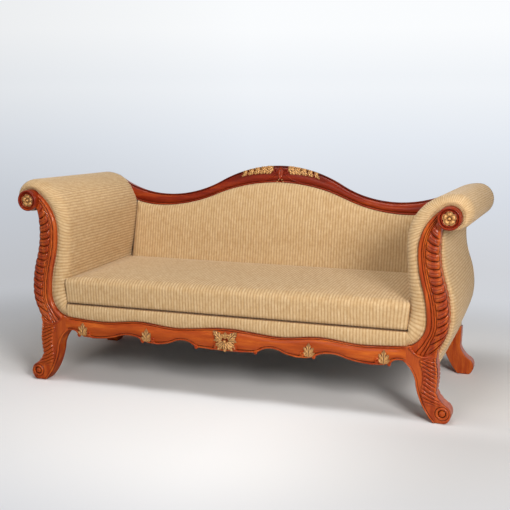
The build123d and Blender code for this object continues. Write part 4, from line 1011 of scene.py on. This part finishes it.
# Outside arms
def panel_line(drop, count=150):
    top = ROLL_CENTRE[1] - drop + ROLL_RADIUS * math.sin(math.radians(TUCK)) + 4
    head, waist, bulge, hem = (841.0, top), (837.0, 657.0 - drop), (880.0, 392.0), (832.6, 250.0)
    run = join(arc_to(waist, head, (0, 1))[::-1], s_curve(waist, bulge), arc_to(bulge, hem, (0, -1)),
               np.array([hem, (hem[0], 206.0)]))
    return resample(run, count)


def make_outside_arm():
    front_y, skin, stretch = -306.0, 11.0, 1.09
    front, low = panel_line(0), panel_line(ROLL_DROP)
    loops, maps = [], []
    for share in 1 - np.cos(np.linspace(0, np.pi / 2, 70)):
        line = front * (1 - share) + low * share
        y = front_y + (outer_back_y(line[:, 1]) - front_y) * share
        run = lengths(line)
        tight = np.sin(np.pi * np.clip(run / run[-1], 0, 1)) ** 0.45
        swell = 17.0 * np.sin(np.pi * share**0.42) ** 0.8 * tight - 3.0 * smooth(np.array(share), 0.985, 1.0)
        edge = np.clip(np.minimum(run, run[-1] - run) / 8.0, 0, 1) ** 0.5
        ahead = np.gradient(line, axis=0)
        out = np.stack([-ahead[:, 1], ahead[:, 0]], 1) / np.linalg.norm(ahead, axis=1)[:, None]
        face = line + out * (swell + 3.0 * (edge - 1))[:, None]
        loops.append(np.concatenate([in_depth(face, y), in_depth((line - out * skin)[::-6], y[::-6])]))
        rib_map = np.stack([stretch * run, y], 1)
        maps.append(np.concatenate([rib_map, rib_map[::-6]]))
    return covered(loops, maps)


panel_shape, panel_map = make_outside_arm()
for ob in pair("outside_arm", panel_shape, cloth, "upholstery", uv=panel_map):
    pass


# Inside back
def make_inside_back():
    count, rows, foot, half_width = 181, 70, 349.2, 708
    ring = [*range(rows), -1, 0]
    loops, maps, free = [], [], []
    for k in np.linspace(-1, 1, count):
        v = np.linspace(0, 1, rows)
        top = np.interp(k * half_width, crest_x, crest_low) - 0.5
        up = foot + (top - foot) * v
        half = np.interp(up, (foot, foot + 120, foot + 330, 900), (721.0, 715.0, 707.5, 707.5))
        x = k * half
        side = (1 - abs(k)) * half_width
        near = np.minimum(side, np.minimum(up - foot, top - up))
        edge = np.clip(near / 34.0, 0, 1)
        forward = 8.0 + 20.0 * np.sqrt(np.clip(1 - (1 - edge) ** 2, 0, 1))
        forward = forward + 3.0 * np.sin(np.pi * v) * np.cos(np.pi * k / 2) ** 0.6
        loops.append(raked(x[ring], up[ring], np.concatenate([forward, (0.5, 0.5)])))
        maps.append(np.stack([x, up], 1)[ring])
        loose = smooth(np.minimum(side, top - up), 8, 60) * smooth(up, 475, 570)
        free.append(np.concatenate([loose, (0, 0)]))
    return *covered(loops, maps), np.concatenate(free)


back_shape, back_map, back_free = make_inside_back()
inside_back = piece("inside_back_look", back_shape, cloth, "upholstery", nodes=["inside_back"], uv=back_map)
puff(inside_back, back_free, 6.0)


# Outside back
def make_outside_back():
    count, rows, hem, crest_half, crest_back = 121, 90, 207.0, 826, 34
    ring = [*range(rows), -1, 0]
    side_line = panel_line(ROLL_DROP, 200)
    order = np.argsort(side_line[:, 1])
    loops, maps = [], []
    for k in np.linspace(-1, 1, count):
        under_crest = np.interp(k * crest_half, crest_x, crest_low) - 1.0
        top = under_crest * math.cos(RAKE) - crest_back * math.sin(RAKE) + 4
        z = np.linspace(hem, top, rows)
        half = np.where(z > 668, 830.0, np.interp(z, side_line[order, 1], side_line[order, 0]))
        x = k * half
        near = np.minimum((1 - abs(k)) * half, np.minimum(z - hem, top - z))
        edge = np.sqrt(np.clip(1 - (1 - np.clip(near / 10, 0, 1)) ** 2, 0, 1))
        swell = 4.0 * np.sin(np.pi * np.clip((z - hem) / (top - hem), 0, 1)) * np.cos(np.pi * k / 2) ** 0.5
        y = outer_back_y(z) + 3.0 + 5.0 * edge + swell
        inner = outer_back_y(z[[-1, 0]]) + 0.5
        loops.append(np.stack([x[ring], np.concatenate([y, inner]), z[ring]], 1))
        maps.append(np.stack([x, z], 1)[ring])
    return covered(loops, maps)


rear_shape, rear_map = make_outside_back()
outside_back = piece("outside_back_look", rear_shape, cloth, "upholstery", nodes=["outside_back"],
                     uv=rear_map)


# Sprung deck with its padded front border
def make_deck():
    count, half, under = 181, 721.5, 272.0
    _, _, high = apron_edges(count)
    loops, maps = [], []
    for x, rail in zip(np.linspace(-half, half, count), high):
        angle = np.radians(np.linspace(-90, 90, 34))
        z = rail + (DECK_TOP - 1 - rail) * (0.5 + 0.5 * np.sin(angle))
        y = FRONT_LINE - 1 - (12.0 - 0.9 * smooth(abs(x), 685, 721)) * np.cos(angle) ** 0.75
        back = np.linspace(FRONT_LINE, 245.0, 26)[1:]
        line = np.concatenate([np.stack([y, z], 1), np.stack([back, np.full(25, DECK_TOP - 1.0)], 1)])
        run = lengths(line)
        ring = np.concatenate([line, [(232.0, under), (-339.5, under)]])
        loops.append(np.concatenate([np.full((len(ring), 1), x), ring], 1))
        maps.append(np.stack([np.full(len(ring), x), np.concatenate([run, run[[-1, 0]]])], 1))
    verts, faces = closed_loops(np.array(loops))
    shade = 0.9 * smooth(verts[:, 2], 335.5, 339.5) * smooth(verts[:, 1], -335, -340)
    return (verts, faces, shade), np.array(maps).reshape(-1, 2)


deck_shape, deck_map = make_deck()
seat_deck = piece("seat_deck_look", deck_shape, cloth, "upholstery", nodes=["seat_deck"], uv=deck_map)


# Loose bench cushion
def cushion_loop(x):
    """Section of the cushion across its depth, at a place along it."""
    base, top, front = DECK_TOP + 0.3, CUSHION_TOP, CUSHION_FRONT
    foot = circle((front + 9, base + 9), 9, 270, 180, 12)
    brow = circle((front + 20, top - 20), 20, 180, 90, 18)
    back_top, back_base = lean_y(top) - BACK_GAP, lean_y(base) - BACK_GAP
    line = join(np.array([(back_base - 8, base), (0.0, base), (front + 9, base)]), foot,
                np.array([foot[-1], brow[0]]), brow,
                np.array([brow[-1], (-150.0, top), (0.0, top), (back_top - 18, top)]),
                arc_through((back_top - 18, top), (back_top - 5, top - 6), (back_top - 1, top - 20), 14),
                np.array([(back_top - 1, top - 20), (back_base - 1, base + 8), (back_base - 8, base)]))
    line = resample(line, 150)[:-1]
    to_end = CUSHION_HALF - abs(x)
    near = np.minimum(to_end, np.minimum(line[:, 0] - front, back_top - line[:, 0]))
    crown = 7.0 * np.sin(np.pi / 2 * np.clip(near / 150.0, 0, 1)) * smooth(line[:, 1], base + 60, top)
    high = np.sin(np.pi * np.clip((line[:, 1] - base) / (top - base), 0, 1))
    line[:, 1] += crown
    line[:, 0] -= 2.0 * high * smooth(line[:, 0], front + 40, front) * smooth(to_end, 0, 60)
    return line


def make_cushion():
    half, round_end, middle = CUSHION_HALF, 6.0, np.array((-55.0, 390.0))
    ends = half - round_end + round_end * np.sin(np.linspace(0, np.pi / 2, 8))[1:]
    xs = np.concatenate([-ends[::-1], np.linspace(-half + round_end, half - round_end, 190), ends])
    loops, maps = [], []
    for x in xs:
        line = cushion_loop(x)
        near = np.clip((abs(x) - (half - round_end)) / round_end, 0, 1)
        inset = round_end * (1 - np.sqrt(np.clip(1 - near**2, 0, 1)))
        ring = middle + (line - middle) * (1 - inset / np.maximum(np.abs(line - middle), 40.0))
        loops.append(np.stack([np.full(len(ring), x), ring[:, 0], ring[:, 1]], 1))
        maps.append(np.stack([np.full(len(ring), x), lengths(line)], 1))
    # End boxing, drawn in to the middle
    for edge, add in ((loops[0], "front"), (loops[-1], "rear")):
        caps = []
        for share in (0.8, 0.5, 0.25):
            ring = edge.copy()
            ring[:, 1:] = middle + (edge[:, 1:] - middle) * share
            ring[:, 0] += np.sign(edge[0, 0]) * 1.2 * (1 - share)
            caps.append(ring)
        cap_maps = [c[:, 1:] for c in caps]
        loops = caps[::-1] + loops if add == "front" else loops + caps
        maps = cap_maps[::-1] + maps if add == "front" else maps + cap_maps
    verts, faces = closed_loops(np.array(loops))
    # The front corners stand out past the rounded fronts of the arms, more at the top
    corner = smooth(verts[:, 1], -296, -338) * smooth(np.abs(verts[:, 0]), 620, 719)
    verts[:, 0] += np.sign(verts[:, 0]) * corner * np.interp(verts[:, 2], (DECK_TOP, 440), (0.0, 10.0))
    shade = 0.9 * smooth(verts[:, 2], 349, 343) * smooth(verts[:, 1], -325, -338)
    return (verts, faces, shade), np.array(maps).reshape(-1, 2)


cushion_shape, cushion_map = make_cushion()
cushion = piece("seat_cushion_look", cushion_shape, cloth, "upholstery", nodes=["seat_cushion_cover"],
                body="cushion", uv=cushion_map)
spots = cushion_shape[0]
cushion_free = smooth(spots[:, 2], 353, 400) * smooth(CUSHION_HALF - 1 - np.abs(spots[:, 0]), 2, 60)
cushion_free = cushion_free * smooth(lean_y(spots[:, 2]) - BACK_GAP - spots[:, 1], 8, 80)
puff(cushion, cushion_free, 5.5)

# Dust cover under the seat frame
dust_x, dust_y = np.meshgrid(np.linspace(-DUST_HALF, DUST_HALF, 60), np.linspace(DUST_FRONT, DUST_BACK, 30),
                             indexing="ij")
sag = 2.5 * np.cos(np.pi * dust_x / (2 * DUST_HALF)) ** 0.8 * np.cos(np.pi * (dust_y + 25) / 549) ** 0.8
dust_verts = np.stack([dust_x, dust_y, DUST_LEVEL - sag], -1).reshape(-1, 3)
dust_shape = dust_verts, grid_faces(60, 30), np.zeros(len(dust_verts))
dust = piece("dust_cover_look", dust_shape, dust_cloth, "dust_cloth", nodes=["dust_cover"])

# Finishes of the pieces that stay as built
finishes = {"frame_wood": raw_wood, "webbing": strap_cloth, "glide": glide, "screw_steel": steel,
            "cushion_filling": foam, "show_wood": wood_up, "gilt": gilt, "upholstery": cloth,
            "dust_cloth": dust_cloth}
for entry in frame["record"]["subparts"]:
    ob = frame["nodes"][entry["node"]]
    ob.data.materials.clear()
    ob.data.materials.append(finishes[entry["material_slot"]])

# Floor that runs out to a pale horizon on every side
FLOOR_REACH = 90
corners = [(FLOOR_REACH * x, FLOOR_REACH * y, 0) for x, y in ((-1, -1), (1, -1), (1, 1), (-1, 1))]
stage_mesh = bpy.data.meshes.new("studio")
stage_mesh.from_pydata(corners, [], [(0, 1, 2, 3)])
studio = bpy.data.objects.new("studio", stage_mesh)
bpy.context.scene.collection.objects.link(studio)


def distance(t, x, y):
    return t.math("SQRT", t.add(t.times(x, x), t.times(y, y)))


def seen_rays(t):
    """1 for rays that see or mirror the surroundings, 0 for rays that light things."""
    ray = t.node("LightPath").outputs
    return t.add(t.add(ray["Is Camera Ray"], ray["Is Glossy Ray"]), ray["Is Transmission Ray"], clamp=True)


def left_fade(t, share, slope=0.55):
    """Brightness of the surroundings, a little less towards the left."""
    past = t.math("MAXIMUM", t.line(share, -1.0, -0.34), 0.0)
    return t.math("MAXIMUM", t.line(past, -slope, 1.0), 0.82)


EASED = "SMOOTHSTEP"
PALE_PAPER, PAINTED_FLOOR_SHADE, MIRRORED_PAPER = (0.86, 0.855, 0.85), (0.56, 0.553, 0.548), (0.05, 0.05, 0.05)
HORIZON, SKY, CEILING = (0.878, 0.905, 0.94), (0.96, 0.975, 0.99), (0.45, 0.46, 0.48)
NEAR_HAZE, MID_HAZE, FAR_HAZE = (0.635, 0.65, 0.685), (0.685, 0.72, 0.78), (0.78, 0.82, 0.88)
paper, ground = new_material("studio_paper")
x, y, _ = ground.split(ground.place())
# Painted shade: the floor is darker towards the front right
beside, in_front = ground.span(x, 0.1, 1.05, kind=EASED), ground.span(y, -0.1, -0.55, kind=EASED)
tone = ground.blend(ground.times(beside, in_front), PALE_PAPER, PAINTED_FLOOR_SHADE)
# The left of the floor is mirrored darker in the wood
mirrored = ground.node("LightPath").outputs["Is Glossy Ray"]
leftward = ground.span(x, 0.1, -0.9, 0.8, EASED)
tone = ground.blend(ground.times(mirrored, leftward), tone, MIRRORED_PAPER)
ground.surface({"Base Color": tone, "Roughness": 0.9, "Specular IOR Level": 0.1})
matte = ground.tree.nodes["Principled BSDF"]
# Far off, the paper goes over into a haze that only shows and lights nothing
spread = distance(ground, x, y)
away = ground.math("DIVIDE", 6.9, ground.add(spread, 4.1))
haze = ground.ramp(ground.line(away, -1.08, 1.08),
                   (0.0, NEAR_HAZE), (0.35, MID_HAZE), (0.70, FAR_HAZE), (1.0, HORIZON))
fade = left_fade(ground, ground.math("DIVIDE", x, spread))
glow = ground.node("Emission", {"Color": haze, "Strength": fade})
dim = ground.node("Emission", {"Color": (0, 0, 0, 1), "Strength": 0.0})
far = ground.span(distance(ground, ground.times(x, 0.7), y), 0.9, 1.9, kind=EASED)
seen = seen_rays(ground)
both = ground.node("MixShader", {0: ground.times(far, seen), 1: matte.outputs[0], 2: glow.outputs[0]})
# The floor behind is seen and mirrored, but throws no light forward under the seat
unlit = ground.times(ground.span(y, 0.4, 0.6), ground.math("SUBTRACT", 1.0, seen))
both = ground.node("MixShader", {0: unlit, 1: both.outputs[0], 2: dim.outputs[0]})
ground.feed(ground.tree.nodes["Material Output"].inputs["Surface"], both.outputs[0])
studio.data.materials.append(paper)

world = bpy.data.worlds.new("studio_air")
bpy.context.scene.world = world
world.use_nodes = True
air = Shade(world.node_tree)
ambient = air.tree.nodes["Background"]
ambient.inputs[0].default_value = (0.92, 0.95, 1.0, 1)
ambient.inputs[1].default_value = 0.03
look = air.split(air.place("Generated"))
sky_colour = air.ramp(look[2], (0.0, HORIZON), (0.046, SKY), (0.35, SKY), (0.7, CEILING))
sky = air.node("Background", {0: sky_colour, 1: left_fade(air, look[0])})
both = air.node("MixShader", {0: seen_rays(air), 1: ambient.outputs[0], 2: sky.outputs[0]})
air.feed(air.tree.nodes["World Output"].inputs["Surface"], both.outputs[0])


def lamp(name, place, target, size, power, colour):
    data = bpy.data.lights.new(name, "AREA")
    data.shape, data.size, data.size_y = "RECTANGLE", size[0], size[1]
    data.energy, data.color = power, colour
    ob = bpy.data.objects.new(name, data)
    bpy.context.scene.collection.objects.link(ob)
    ob.location = place
    ob.rotation_euler = (Vector(target) - Vector(place)).to_track_quat("-Z", "Y").to_euler()
    return ob


WARM, MILD, COOL = (1.0, 0.97, 0.94), (1.0, 0.98, 0.96), (0.97, 0.98, 1.0)
lamp("key_softbox", (2.71, -3.2, 2.2), (0.4, 0, 0.5), (1.2, 1.2), 150, WARM)
lamp("front_softbox", (-0.4, -4.6, 1.9), (0, 0, 0.4), (2.2, 1.4), 34, WARM)
lamp("top_softbox", (-0.2, -0.7, 3.4), (-0.1, -0.4, 0), (2.6, 0.9), 64, COOL)
lamp("side_softbox", (3.6, -1.0, 1.5), (0.9, 0, 0.5), (1.2, 1.2), 18, MILD)

# Fills for the back and the left side, kept off the floor so that the seat keeps its shadow
off_floor = bpy.data.collections.new("off_floor")
off_floor.objects.link(studio)
off_floor.collection_objects[0].light_linking.link_state = "EXCLUDE"
for name, spot, power in (("rear_softbox", (-0.9, 4.4, 1.35), 92), ("left_softbox", (-4.3, 0.8, 1.35), 58)):
    fill = lamp(name, spot, (0, 0, 0.5), (2.4, 1.4), power, COOL)
    fill.light_linking.receiver_collection = off_floor
    fill.visible_glossy = False

# Camera at the photograph's angle
CAMERA_PLACE, LENS, SENSOR = (1.3711, -3.8375, 1.2795), 68.65, 36.0
yaw, pitch, roll = (math.radians(angle) for angle in (19.68, 10.44, -0.312))
ahead = Vector((-math.sin(yaw) * math.cos(pitch), math.cos(yaw) * math.cos(pitch), -math.sin(pitch)))
level = Vector((math.cos(yaw), math.sin(yaw), 0))
plumb = level.cross(ahead)
right = level * math.cos(roll) + plumb * math.sin(roll)
above = plumb * math.cos(roll) - level * math.sin(roll)
camera_data = bpy.data.cameras.new("camera")
camera_data.lens, camera_data.sensor_width = LENS, SENSOR
camera = bpy.data.objects.new("camera", camera_data)
bpy.context.scene.collection.objects.link(camera)
camera.matrix_world = Matrix.Translation(CAMERA_PLACE) @ Matrix((right, above, -ahead)).transposed().to_4x4()
bpy.context.scene.camera = camera
bpy.context.scene.view_settings.view_transform = "Standard"

bpy.context.view_layer.update()
